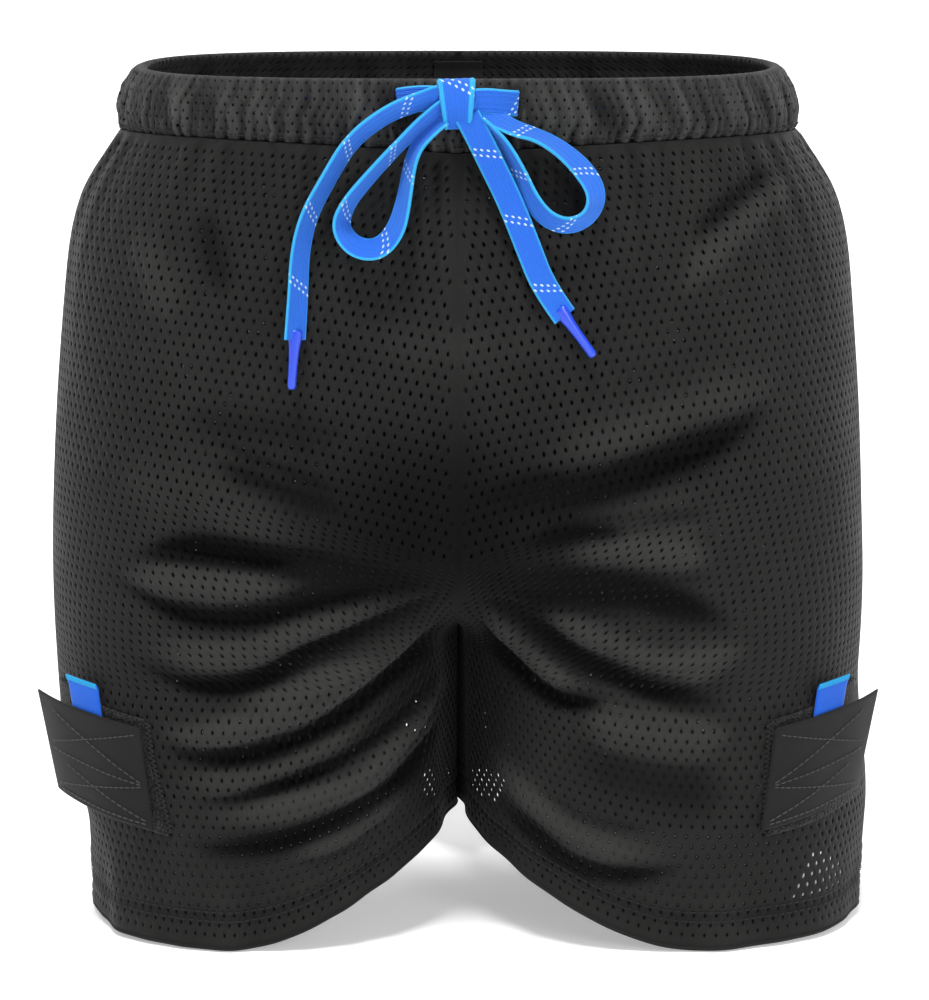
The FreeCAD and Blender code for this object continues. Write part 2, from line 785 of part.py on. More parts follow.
edge = 0.985
add("cup_pocket_front", sheet_solid(pocket_front, spread(-1, 1, 15), spread(0, 1, 11),
                                    -pocket_cloth, 0.0))
add("cup_pocket_back", sheet_solid(pocket_back, spread(-edge, edge, 25), spread(0, edge, 17),
                                   -pocket_cloth, 0.0))
binding_share = binding_height / (pocket_bottom_drop - pocket_mouth_drop)
add("cup_pocket_binding", sheet_solid(pocket_back, spread(-0.94, 0.94, 21),
                                      spread(0.0, binding_share, 3),
                                      -pocket_cloth - binding_gap - binding_thickness,
                                      -pocket_cloth - binding_gap))


def ellipsoid(a, b, c, centre):
    ball = Part.makeSphere(1.0)
    matrix = FreeCAD.Matrix(a, 0, 0, centre.x, 0, b, 0, centre.y, 0, 0, c, centre.z, 0, 0, 0, 1)
    return ball.transformGeometry(matrix)


def oval_prism(half_width, half_height, y0, y1, centre_z):
    major = Part.Ellipse(V(0, y0, centre_z + half_height), V(half_width, y0, centre_z),
                         V(0, y0, centre_z))
    face = Part.Face(Part.Wire(major.toShape()))
    return face.extrude(V(0, y1 - y0, 0))


cup_centre = V(0, cup_rim_y, -cup_centre_drop)
outer = ellipsoid(cup_half_width, cup_depth, cup_half_height, cup_centre)
inner = ellipsoid(cup_half_width - cup_wall, cup_depth - cup_wall, cup_half_height - cup_wall, cup_centre)
front_half = Part.makeBox(200, 100, 200, V(-100, cup_rim_y - 100, -cup_centre_drop - 100))
shell = outer.cut(inner).common(front_half)
vents = []
for row in (-1, 0, 1):
    for column in (-1, 0, 1):
        base = V(column * vent_pitch, cup_rim_y, -cup_centre_drop + row * vent_pitch * 1.2)
        vents.append(Part.makeCylinder(vent_radius, -cup_rim_y + 100, base, V(0, -1, 0)))
add("cup_shell", shell.cut(Part.makeCompound(vents)))

cushion_y = cup_rim_y + cushion_gap
ring_outer = oval_prism(cup_half_width + cushion_overhang, cup_half_height + cushion_overhang,
                        cushion_y, cushion_y + cushion_thickness, -cup_centre_drop)
inward = cushion_width - cushion_overhang
ring_inner = oval_prism(cup_half_width - inward, cup_half_height - inward,
                        cushion_y, cushion_y + cushion_thickness, -cup_centre_drop)
cushion = ring_outer.cut(ring_inner)
add("cup_edge_cushion", cushion.makeFillet(cushion_rounding, cushion.Edges))

# ---- label -------------------------------------------------------------------------------------
label_turn = math.degrees(label_size[0] / waist_seam_width)
label_low = 0.2            # share of the band's height at its lower edge
label_high = label_low + label_size[2] / (waist_seam_back_drop + back_rise)
label_levels = (label_low, *band_levels[1:3], label_high)
label_outer = lining_inner - band_gap
add("size_label", arc_solid(band_corners(label_levels, label_outer - label_size[1], label_outer),
                            spread(90 - label_turn, 90 + label_turn, 7)))

# ---- write every piece -------------------------------------------------------------------------
os.makedirs("parts", exist_ok=True)
for name, shape in nodes.items():
    if not shape.isValid():
        print("NOT VALID", name)
    shape.exportStep("parts/" + name + ".step")
box = Part.makeCompound(list(nodes.values())).BoundBox
print(len(nodes), "nodes, box", [round(v, 1) for v in (box.XMin, box.XMax, box.YMin, box.YMax,
                                                        box.ZMin, box.ZMax)])
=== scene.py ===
import math

import bpy
import numpy as np
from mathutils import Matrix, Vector


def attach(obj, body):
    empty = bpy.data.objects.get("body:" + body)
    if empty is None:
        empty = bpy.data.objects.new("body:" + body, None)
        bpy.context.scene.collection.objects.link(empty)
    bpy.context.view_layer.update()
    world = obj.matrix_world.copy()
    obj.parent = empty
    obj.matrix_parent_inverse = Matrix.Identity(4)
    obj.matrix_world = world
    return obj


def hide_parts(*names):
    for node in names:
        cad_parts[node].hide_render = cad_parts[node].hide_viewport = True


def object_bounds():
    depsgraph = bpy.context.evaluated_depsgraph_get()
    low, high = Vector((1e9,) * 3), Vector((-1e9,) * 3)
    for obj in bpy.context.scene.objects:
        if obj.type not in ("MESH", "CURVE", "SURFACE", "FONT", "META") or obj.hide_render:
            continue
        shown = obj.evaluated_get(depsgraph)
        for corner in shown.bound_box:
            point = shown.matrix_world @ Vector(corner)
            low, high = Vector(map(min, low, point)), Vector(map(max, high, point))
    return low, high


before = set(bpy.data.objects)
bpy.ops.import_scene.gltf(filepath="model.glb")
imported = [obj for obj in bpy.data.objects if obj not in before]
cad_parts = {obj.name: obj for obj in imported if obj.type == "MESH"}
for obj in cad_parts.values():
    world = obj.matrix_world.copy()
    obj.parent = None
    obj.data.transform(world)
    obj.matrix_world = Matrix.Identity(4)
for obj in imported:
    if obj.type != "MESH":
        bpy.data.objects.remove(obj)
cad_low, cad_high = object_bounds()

# Mesh shorts with a laced elastic waist, a hook-and-loop sock tab on each leg and a cup pocket.
# Metres in the scene; the cloth is worked out in millimetres and scaled when its mesh is made.
MM = 0.001
random_order = np.random.default_rng(7)


# ---- camera, floor and light -------------------------------------------------------------------
def make_camera():
    data = bpy.data.cameras.new("camera")
    data.sensor_width = 36.0
    data.sensor_fit = "HORIZONTAL"
    data.lens = 129.2
    data.clip_end = 50.0
    camera = bpy.data.objects.new("camera", data)
    camera.location = (0.0029, -1.5, 0.055)
    camera.rotation_euler = (math.pi / 2 - 0.1647, 0.0, 0.0)
    bpy.context.scene.collection.objects.link(camera)
    bpy.context.scene.camera = camera


def make_light(name, place, target, size, power, colour=(1.0, 1.0, 1.0)):
    data = bpy.data.lights.new(name, "AREA")
    data.shape = "DISK"
    data.size = size
    data.energy = power
    data.color = colour
    light = bpy.data.objects.new(name, data)
    light.location = place
    direction = Vector(target) - Vector(place)
    light.rotation_euler = direction.to_track_quat("-Z", "Y").to_euler()
    bpy.context.scene.collection.objects.link(light)


# ---- shader maths ------------------------------------------------------------------------------
class Value:
    """A number, vector or colour on its way through a finish's nodes."""

    def __init__(self, finish, socket):
        self.finish = finish
        self.socket = socket

    def maths(self, operation, other, swapped=False):
        first, second = (other, self) if swapped else (self, other)
        return self.finish.node("ShaderNodeMath", {"operation": operation}, {0: first, 1: second})

    def __add__(self, other):
        return self.maths("ADD", other)

    def __sub__(self, other):
        return self.maths("SUBTRACT", other)

    def __rsub__(self, other):
        return self.maths("SUBTRACT", other, True)

    def __mul__(self, other):
        return self.maths("MULTIPLY", other)

    def __truediv__(self, other):
        return self.maths("DIVIDE", other)

    def __pow__(self, other):
        return self.maths("POWER", other)

    __radd__ = __add__
    __rmul__ = __mul__


class Finish:
    """A material round one Principled shader."""

    def __init__(self, name, **constants):
        self.material = bpy.data.materials.new(name)
        self.material.use_nodes = True
        self.tree = self.material.node_tree
        self.tree.nodes.clear()
        self.shader = self.tree.nodes.new("ShaderNodeBsdfPrincipled")
        output = self.tree.nodes.new("ShaderNodeOutputMaterial")
        self.tree.links.new(self.shader.outputs[0], output.inputs[0])
        for socket, value in constants.items():
            self.shader.inputs[socket.replace("_", " ")].default_value = value

    def node(self, kind, settings=None, sockets=None, output=0):
        made = self.tree.nodes.new(kind)
        for name, value in (settings or {}).items():
            if name == "stops":
                self.set_stops(made.color_ramp, value)
            else:
                setattr(made, name, value)
        for key, value in (sockets or {}).items():
            self.feed(made.inputs[key], value)
        return Value(self, made.outputs[output])

    def feed(self, socket, value):
        if isinstance(value, Value):
            self.tree.links.new(value.socket, socket)
        else:
            socket.default_value = value

    def set_stops(self, ramp, stops):
        while len(ramp.elements) < len(stops):
            ramp.elements.new(1.0)
        for element, (place, colour) in zip(ramp.elements, stops):
            element.position = place
            element.color = (*colour, 1.0)

    def paint(self, **sockets):
        for name, value in sockets.items():
            self.feed(self.shader.inputs[name.replace("_", " ")], value)

    def across_and_along(self, name="grain"):
        """The two measures along the cloth, in millimetres, or the height that sets the painted shade, 0.5
        flat.
        """
        where = self.node("ShaderNodeUVMap", {"uv_map": name})
        return (self.node("ShaderNodeSeparateXYZ", {}, {0: where}, 0),
                self.node("ShaderNodeSeparateXYZ", {}, {0: where}, 1))

    def point(self, x, y, z=0.0):
        return self.node("ShaderNodeCombineXYZ", {}, {0: x, 1: y, 2: z})

    def noise(self, scale, detail=2.0, place=None, roughness=0.5):
        if place is None:
            place = self.node("ShaderNodeTexCoord", {}, {}, "Object")
        return self.node("ShaderNodeTexNoise", {},
                         {"Vector": place, "Scale": scale, "Detail": detail, "Roughness": roughness}, "Fac")

    def sine(self, value):
        return self.node("ShaderNodeMath", {"operation": "SINE"}, {0: value})

    def fraction(self, value):
        return self.node("ShaderNodeMath", {"operation": "FRACT"}, {0: value})

    def size_of(self, value):
        return self.node("ShaderNodeMath", {"operation": "ABSOLUTE"}, {0: value})

    def ease(self, value, low, high):
        return self.node("ShaderNodeMapRange", {"interpolation_type": "SMOOTHSTEP"},
                         {0: value, 1: low, 2: high})

    def blend(self, factor, first, second):
        colours = [(*c, 1.0) if isinstance(c, tuple) and len(c) == 3 else c for c in (first, second)]
        return self.node("ShaderNodeMix", {"data_type": "RGBA"},
                         {0: factor, 6: colours[0], 7: colours[1]}, 2)

    def bump(self, height, distance, strength=1.0):
        return self.node("ShaderNodeBump", {},
                         {"Strength": strength, "Distance": distance, "Height": height})


def knitted(name, dark, light, roughness=(0.48, 0.7), sheen=0.06, wale=0.8, course=0.62):
    """Fine warp knit: rows of small loops, a little fuzz, and painted shade set by fold height."""
    finish = Finish(name, Sheen_Weight=sheen, Sheen_Roughness=0.35, Specular_IOR_Level=0.07)
    across, along = finish.across_and_along()
    loops = finish.sine(across * (2 * math.pi / wale)) * finish.sine(along * (2 * math.pi / course))
    ribs = finish.sine((across + finish.sine(along * (math.pi / course)) * 0.12) * (2 * math.pi / wale))
    fuzz = finish.noise(2600.0, 3.0)
    patches = finish.noise(38.0, 3.0)
    # Painted shade: this UV layer makes the colour darker in fold hollows and paler on fold ridges.
    painted_shade_level = finish.ease(finish.across_and_along("relief")[0], 0.12, 0.88)
    shade = painted_shade_level * (loops * 0.12 + ribs * 0.1 + fuzz * 0.5 + patches * 0.4 + 0.45)
    finish.paint(Base_Color=finish.blend(finish.ease(shade, 0.0, 1.0), dark, light),
                 Roughness=(finish.ease(patches + fuzz * 0.3, 0.2, 1.1) * (roughness[1] - roughness[0])
                            + roughness[0]),
                 Normal=finish.bump(loops * 0.4 + ribs * 0.3 + fuzz * 0.5, 0.00022, 0.6))
    return finish.material


def lace_finish(name):
    """Flat woven lace: ribs along it, a painted highlight along both edges and bands of white tracer
    stitches.
    """
    finish = Finish(name, Sheen_Weight=0.35, Sheen_Roughness=0.4, Sheen_Tint=(0.35, 0.8, 1.0, 1.0),
                    Specular_IOR_Level=0.4)
    across, along = finish.across_and_along()
    side = finish.size_of(across)
    painted_edge_highlight = finish.ease(side, 4.3, 5.2)
    slanted = finish.size_of(finish.fraction(across / 1.7) - 0.5) * 1.7
    chevron = finish.sine((along + slanted) * (2 * math.pi / 0.85))
    ribs = finish.sine(across * (2 * math.pi / 0.85))
    fibre = finish.noise(3000.0, 2.0)
    band = finish.fraction((along + across * 0.62) / tracer_pitch) * tracer_pitch
    dots = None
    for row, shift in ((2.0, 0.0), (4.7, 0.5)):
        dx = finish.size_of(finish.fraction(across / 2.35 + shift) - 0.5) * 2.35
        dy = finish.size_of(band - row)
        reach = (dx * dx + dy * dy) ** 0.5
        dot = 1.0 - finish.ease(reach, 0.4, 0.72)
        if dots is not None:
            dot = finish.node("ShaderNodeMath", {"operation": "MAXIMUM"}, {0: dots, 1: dot})
        dots = dot
    thread = chevron * 0.5 + 0.5
    blue = finish.blend(thread * 0.55 + fibre * 0.4, (0.002, 0.055, 0.50), (0.008, 0.19, 0.80))
    # Painted highlight: both edges paler cyan, where the lace's edges catch the light.
    edged = finish.blend(painted_edge_highlight * (0.35 + fibre * 0.6), blue, (0.02, 0.50, 0.82))
    finish.paint(Base_Color=finish.blend(dots * 0.85, edged, (0.62, 0.76, 0.86)),
                 Roughness=fibre * 0.2 + 0.5,
                 Normal=finish.bump(thread * 0.6 + ribs * 0.35 + dots * 0.5 + fibre * 0.2, 0.0003, 0.9))
    return finish.material


def moulded(name, colour, roughness=0.35, grain=900.0, coat=0.0):
    finish = Finish(name, Coat_Weight=coat, Coat_Roughness=0.2, Specular_IOR_Level=0.5)
    speck = finish.noise(grain, 3.0)
    rub = finish.noise(60.0, 4.0)
    pale = tuple(min(1.0, c * 1.25 + 0.01) for c in colour)
    finish.paint(Base_Color=finish.blend(finish.ease(rub, 0.45, 0.8) * 0.6, colour, pale),
                 Roughness=speck * 0.12 + rub * 0.15 + roughness - 0.12,
                 Normal=finish.bump(speck, 0.00006, 0.6))
    return finish.material


def woven(name, dark, light, warp=0.9, weft=0.9, roughness=0.7, sheen=0.07, depth=0.0002):
    """Plain weave: threads that pass over and under each other."""
    finish = Finish(name, Sheen_Weight=sheen, Sheen_Roughness=0.4, Specular_IOR_Level=0.16)
    across, along = finish.across_and_along()
    over = finish.sine(across * (2 * math.pi / warp))
    under = finish.sine(along * (2 * math.pi / weft))
    weave = over * under
    fuzz = finish.noise(2500.0, 3.0)
    wear = finish.noise(55.0, 4.0)
    shade = weave * 0.3 + fuzz * 0.5 + wear * 0.5 - 0.1
    finish.paint(Base_Color=finish.blend(finish.ease(shade, 0.0, 0.9), dark, light),
                 Roughness=wear * 0.15 + fuzz * 0.1 + roughness - 0.12,
                 Normal=finish.bump(weave * 0.5 + fuzz * 0.5, depth, 0.8))
    return finish.material


def fuzzy(name, dark, light, scale):
    """Loop or hook face of the fastening: a dense field of tiny tufts."""
    finish = Finish(name, Sheen_Weight=0.1, Sheen_Roughness=0.5, Specular_IOR_Level=0.12)
    where = finish.node("ShaderNodeTexCoord", {}, {}, "Object")
    tufts = finish.node("ShaderNodeTexVoronoi", {}, {"Vector": where, "Scale": scale}, "Distance")
    fuzz = finish.noise(2400.0, 3.0)
    finish.paint(Base_Color=finish.blend(finish.ease(tufts + fuzz * 0.3, 0.1, 0.9), light, dark),
                 Roughness=fuzz * 0.2 + 0.7,
                 Normal=finish.bump(1.0 - tufts + fuzz * 0.4, 0.0006, 1.0))
    return finish.material


tracer_pitch = 31.0
# Each knit's two colours span its own knit texture and its painted shade and highlight.
mesh_cloth = knitted("mesh_cloth", (0.0010, 0.0010, 0.0010), (0.030, 0.030, 0.0292))
casing_cloth_finish = knitted("waistband_cloth", (0.0012, 0.0012, 0.0012), (0.058, 0.058, 0.057))
jersey = knitted("pocket_jersey", (0.006, 0.006, 0.007), (0.026, 0.026, 0.028), wale=1.1, course=0.9)
lace_weave = lace_finish("lace_weave")
thread = woven("seam_thread", (0.006, 0.006, 0.006), (0.03, 0.03, 0.032), 0.5, 0.35, 0.6)
elastic_weave = woven("ribbed_elastic", (0.01, 0.01, 0.011), (0.05, 0.05, 0.052), 2.2, 0.6, 0.65)
tab_cloth = woven("tab_cloth", (0.002, 0.002, 0.0022), (0.0115, 0.0115, 0.012), 0.55, 0.55, 0.6, 0.05,
                  0.00012)
pull_webbing = woven("pull_webbing", (0.002, 0.055, 0.42), (0.008, 0.14, 0.66), 1.6, 0.8, 0.5, 0.2)
loop_tufts = fuzzy("loop_tufts", (0.004, 0.004, 0.004), (0.03, 0.03, 0.032), 900.0)
hook_tufts = fuzzy("hook_tufts", (0.005, 0.005, 0.005), (0.04, 0.04, 0.04), 700.0)
aglet_plastic = moulded("aglet_plastic", (0.004, 0.045, 0.55), 0.3, 500.0, 0.3)
cup_plastic = moulded("cup_plastic", (0.55, 0.56, 0.57), 0.42)
cup_rubber = moulded("cup_rubber", (0.02, 0.02, 0.022), 0.6)
label_cloth = woven("label_cloth", (0.006, 0.006, 0.0065), (0.03, 0.03, 0.031), 0.5, 0.35, 0.55)


# ---- meshes ------------------------------------------------------------------------------------
def make_piece(name, points, faces, material, body, measures=None, scale=MM, smooth=True, relief=None):
    """A mesh object from points, faces, each point's two measures along the cloth and its painted shade."""
    mesh = bpy.data.meshes.new(name)
    mesh.from_pydata(np.asarray(points) * scale, [], faces)
    if measures is not None:
        measures = np.asarray(measures, float)
        loop_points = np.zeros(len(mesh.loops), np.int32)
        mesh.loops.foreach_get("vertex_index", loop_points)
        low, high = measures.min(0), measures.max(0)
        flat = (measures - low) / np.maximum(high - low, 1e-6)
        # Painted shade: each point's height sets how dark its colour is painted, kept in a UV layer.
        height = np.full(len(measures), 0.5) if relief is None else 0.5 + np.asarray(relief) / 12.0
        painted_shade_level = np.stack([height, height], -1)
        for layer_name, values in (("grain", measures), ("relief", painted_shade_level), ("OFBake", flat)):
            layer = mesh.uv_layers.new(name=layer_name)
            layer.data.foreach_set("uv", values[loop_points].astype(np.float32).ravel())
    mesh.polygons.foreach_set("use_smooth", [smooth] * len(mesh.polygons))
    mesh.materials.append(material)
    mesh.update()
    piece = bpy.data.objects.new(name, mesh)
    bpy.context.scene.collection.objects.link(piece)
    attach(piece, body)
    return piece


def grid_faces(rows, columns, first=0, closed_rows=False, closed_columns=False, flip=False):
    row = np.arange(rows if closed_rows else rows - 1)
    column = np.arange(columns if closed_columns else columns - 1)
    r, c = np.meshgrid(row, column, indexing="ij")
    r2, c2 = (r + 1) % rows, (c + 1) % columns
    quads = np.stack([r * columns + c, r * columns + c2, r2 * columns + c2, r2 * columns + c], -1)
    quads = quads.reshape(-1, 4) + first
    return quads[:, ::-1] if flip else quads


def slab(name, point, a_span, b_span, levels, material, body, counts=(24, 24), grain=(1.0, 1.0), soften=0.25):
    """Closed sheet between two levels over a curved surface, with rounded edges.

    point(a, b, out) takes arrays. soften is how far the edges pull in, in the unit of a and b.
    """
    low, high = levels
    quarter = (high - low) / 4
    rings = [(low, soften), (low + quarter, 0.0), (high - quarter, 0.0), (high, soften)]
    points = []
    measures = []
    faces = []
    a_count, b_count = counts

    def border(inset):
        a_in, b_in = inset * grain_sign(a_span), inset * grain_sign(b_span)
        a = np.linspace(a_span[0] + a_in, a_span[1] - a_in, a_count)
        b = np.linspace(b_span[0] + b_in, b_span[1] - b_in, b_count)
        return a, b

    def add_points(a, b, out):
        first = sum(len(p) for p in points)
        points.append(point(a, b, np.full(a.shape, out)))
        measures.append(np.stack([a * grain[0], b * grain[1]], -1))
        return first

    for out, flip in ((low, True), (high, False)):
        a, b = border(soften)
        grid_a, grid_b = np.meshgrid(a, b, indexing="ij")
        first = add_points(grid_a.ravel(), grid_b.ravel(), out)
        faces.extend(grid_faces(a_count, b_count, first, flip=flip).tolist())
    loops = []
    for index, (out, inset) in enumerate(rings):
        a, b = border(inset)
        ring_a = np.concatenate([a, np.full(b_count - 2, a[-1]), a[::-1], np.full(b_count - 2, a[0])])
        ring_b = np.concatenate([np.full(a_count, b[0]), b[1:-1], np.full(a_count, b[-1]), b[-2:0:-1]])
        if index in (0, 3):
            start = 0 if index == 0 else a_count * b_count
            i = np.concatenate([np.arange(a_count), np.full(b_count - 2, a_count - 1),
                                np.arange(a_count)[::-1], np.zeros(b_count - 2, int)])
            j = np.concatenate([np.zeros(a_count, int), np.arange(1, b_count - 1),
                                np.full(a_count, b_count - 1), np.arange(1, b_count - 1)[::-1]])
            loops.append(start + i * b_count + j)
        else:
            first = add_points(ring_a, ring_b, out)
            loops.append(first + np.arange(len(ring_a)))
    for lower, upper in zip(loops, loops[1:]):
        faces.extend(np.stack([lower, np.roll(lower, -1), np.roll(upper, -1), upper], -1).tolist())
    points = np.concatenate(points)
    piece = make_piece(name, points, faces, material, body, np.concatenate(measures))
    settle_normals(piece)
    return piece


def grain_sign(span):
    return 1.0 if span[1] >= span[0] else -1.0


def settle_normals(piece):
    """Turns every face of a closed mesh outward."""
    import bmesh
    mesh = bmesh.new()
    mesh.from_mesh(piece.data)
    bmesh.ops.recalc_face_normals(mesh, faces=mesh.faces)
    mesh.to_mesh(piece.data)
    mesh.free()


def capsules(name, starts, ends, radius, material, body, sides=6, scale=MM, lift=None):
    """Short rounded threads, one from each start to each end, arched along lift."""
    starts, ends = np.asarray(starts, float), np.asarray(ends, float)
    axis = ends - starts
    length = np.linalg.norm(axis, axis=1, keepdims=True)
    axis = axis / np.maximum(length, 1e-9)
    helper = np.where(np.abs(axis[:, 2:3]) < 0.9, [[0.0, 0.0, 1.0]], [[1.0, 0.0, 0.0]])
    u = np.cross(axis, helper)
    u /= np.linalg.norm(u, axis=1, keepdims=True)
    v = np.cross(axis, u)
    stops = [(0.0, 0.35), (0.12, 0.85), (0.35, 1.0), (0.65, 1.0), (0.88, 0.85), (1.0, 0.35)]
    rings = []
    for share, size in stops:
        centre = starts + axis * length * share
        if lift is not None:
            centre = centre + lift * (radius * 1.2 * math.sin(math.pi * share))
        for k in range(sides):
            angle = 2 * math.pi * k / sides
            rings.append(centre + (u * math.cos(angle) + v * math.sin(angle)) * radius * size)
    count = len(stops) * sides
    points = np.stack(rings, 1).reshape(-1, 3)
    one = grid_faces(len(stops), sides, closed_columns=True).tolist()
    one.append(list(range(sides))[::-1])
    one.append(list(range(count - sides, count)))
    faces = [[i + n * count for i in face] for n in range(len(starts)) for face in one]
    shares = np.repeat([s for s, _ in stops], sides)
    around = np.tile(np.arange(sides), len(stops)) * 0.3
    measures = np.concatenate([np.stack([around, shares * length[n] / (MM if scale == 1.0 else 1.0)
                                         + 3.0 * n], -1) for n in range(len(starts))])
    return make_piece(name, points, faces, material, body, measures, scale)


# ---- tied lace ---------------------------------------------------------------------------------
# Each lead comes out of its buttonhole, passes through the knot and is the loop on the other side.
# Each tail ends in its aglet. The last number is how far the flat lace stands on its edge: 0 is
# flat on the cloth, 1 is on edge.
right_lead_and_left_loop = [
    (-0.025, -0.099, -0.009, 0.1), (-0.020, -0.1028, -0.008, 0.05), (-0.011, -0.1034, -0.0076, 0.0),
    (0.0, -0.1038, -0.009, 0.1), (0.0095, -0.106, -0.0116, 0.35), (0.022, -0.107, -0.0195, 0.62),
    (0.033, -0.106, -0.0226, 0.72), (0.0435, -0.105, -0.0286, 0.60), (0.0535, -0.1048, -0.038, 0.42),
    (0.0586, -0.106, -0.0475, 0.45), (0.0556, -0.1076, -0.0566, 0.58), (0.047, -0.109, -0.0608, 0.55),
    (0.0376, -0.1096, -0.058, 0.52), (0.0308, -0.1092, -0.050, 0.55), (0.0258, -0.1074, -0.039, 0.6),
    (0.021, -0.1066, -0.030, 0.65), (0.0156, -0.1066, -0.0224, 0.7), (0.009, -0.1062, -0.0178, 0.6)]
left_lead_and_right_loop = [
    (0.025, -0.099, -0.010, 0.0), (0.020, -0.1036, -0.0096, 0.0), (0.011, -0.108, -0.0084, 0.05),
    (0.0, -0.109, -0.0094, 0.2), (-0.0105, -0.1076, -0.0144, 0.55), (-0.0235, -0.107, -0.026, 0.72),
    (-0.0362, -0.1072, -0.0396, 0.7), (-0.0462, -0.1082, -0.0514, 0.66), (-0.0494, -0.109, -0.061, 0.55),
    (-0.0434, -0.1102, -0.0692, 0.45), (-0.0334, -0.111, -0.0706, 0.42), (-0.0256, -0.1108, -0.0626, 0.5),
    (-0.022, -0.109, -0.0484, 0.66), (-0.0198, -0.1074, -0.034, 0.72), (-0.0154, -0.1068, -0.024, 0.7),
    (-0.0058, -0.107, -0.0154, 0.6)]
right_tail = [
    (-0.0076, -0.110, -0.0064, 0.3), (-0.015, -0.1106, -0.0082, 0.45), (-0.029, -0.1092, -0.0134, 0.55),
    (-0.0444, -0.106, -0.025, 0.6), (-0.054, -0.105, -0.041, 0.6), (-0.0626, -0.1054, -0.0566, 0.55),
    (-0.0662, -0.1058, -0.072, 0.5), (-0.067, -0.1062, -0.090, 0.45), (-0.0684, -0.1064, -0.1084, 0.4)]
left_tail = [
    (0.0040, -0.1098, -0.0146, 0.1), (0.0086, -0.1102, -0.023, 0.05), (0.0134, -0.1086, -0.033, 0.0),
    (0.0216, -0.1076, -0.0494, 0.0), (0.0294, -0.1076, -0.069, 0.05), (0.036, -0.1076, -0.086, 0.15),
    (0.045, -0.1072, -0.0984, 0.2)]
lace_width = 0.011
lace_thickness = 0.0017


def spline_points(name, route):
    """Points along the smooth line whose control points are the route."""
    data = bpy.data.curves.new(name, "CURVE")
    data.dimensions = "3D"
    data.resolution_u = 24
    spline = data.splines.new("NURBS")
    spline.points.add(len(route) - 1)
    for control, place in zip(spline.points, route):
        control.co = (place[0], place[1], place[2], 1.0)
    spline.order_u = 3
    spline.use_endpoint_u = True
    helper = bpy.data.objects.new(name, data)
    bpy.context.scene.collection.objects.link(helper)
    mesh = bpy.data.meshes.new_from_object(helper)
    points = np.array([v.co for v in mesh.vertices], float)
    bpy.data.objects.remove(helper)
    return points


def lengths_along(points):
    steps = np.linalg.norm(np.diff(points, axis=0), axis=1)
    return np.concatenate([[0.0], np.cumsum(steps)])


def unit(vectors):
    return vectors / np.maximum(np.linalg.norm(vectors, axis=-1, keepdims=True), 1e-12)


def ribbon_section(width, thickness):
    """Outline of the flat tubular lace: fuller selvedges and shallow ribs between them."""
    count = 18
    across = np.linspace(-1.0, 1.0, count)
    half = thickness / 2 * (0.78 + 0.22 * np.cos(across * math.pi * 4.5) * 0.5 + 0.35 * np.abs(across) ** 6)
    half = half * np.sqrt(np.maximum(0.0, 1.0 - np.abs(across) ** 14))
    half[0] = half[-1] = 0.0
    upper = np.stack([across * width / 2, half], -1)
    lower = np.stack([across * width / 2, -half], -1)[-2:0:-1]
    return np.concatenate([upper, lower])


def ribbon(name, points, stand, section, body="shorts", material=None, closed=False, base=None, offset=0.0):
    """Flat lace swept along points. stand is its turn about its own line, in quarter turns."""
    tangent = unit(np.gradient(points, axis=0))
    if closed:
        tangent = unit(np.roll(points, -1, 0) - np.roll(points, 1, 0))
    if base is None:
        base = np.tile([[0.0, -1.0, 0.0]], (len(points), 1))
    outward = unit(base - tangent * np.sum(tangent * base, 1, keepdims=True))
    sideways = np.cross(tangent, outward)
    turn = (stand * math.pi / 2)[:, None]
    width_axis = sideways * np.cos(turn) + outward * np.sin(turn)
    thick_axis = outward * np.cos(turn) - sideways * np.sin(turn)
    rings = (points[:, None, :] + width_axis[:, None, :] * section[None, :, :1]
             + thick_axis[:, None, :] * section[None, :, 1:])
    along = lengths_along(points) / MM + offset
    measures = np.stack(np.broadcast_arrays(section[None, :, 0] / MM, along[:, None]), -1)
    sides = len(section)
    faces = grid_faces(len(points), sides, closed_rows=closed, closed_columns=True).tolist()
    if not closed:
        last = (len(points) - 1) * sides
        faces.append(list(range(sides))[::-1])
        faces.append([last + k for k in range(sides)])
    piece = make_piece(name, rings.reshape(-1, 3), faces, material or lace_weave, body,
                       measures.reshape(-1, 2), 1.0)
    settle_normals(piece)
    return piece


def lay_lace(name, route, node, offset=0.0):
    line = spline_points(name, route)
    along = lengths_along(line)
    even = np.linspace(0.0, along[-1], int(along[-1] / 0.0007))
    points = np.stack([np.interp(even, along, line[:, k]) for k in range(3)], -1)
    control = np.array(route)
    chords = lengths_along(control[:, :3])
    stand = np.interp(even / even[-1], chords / chords[-1], control[:, 3])
    kernel = np.ones(9) / 9
    stand = np.convolve(np.pad(stand, 4, mode="edge"), kernel, mode="valid")
    piece = ribbon(name, points, stand, ribbon_section(lace_width, lace_thickness), offset=offset)
    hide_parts(node)
    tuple(route[0][:3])
    return piece


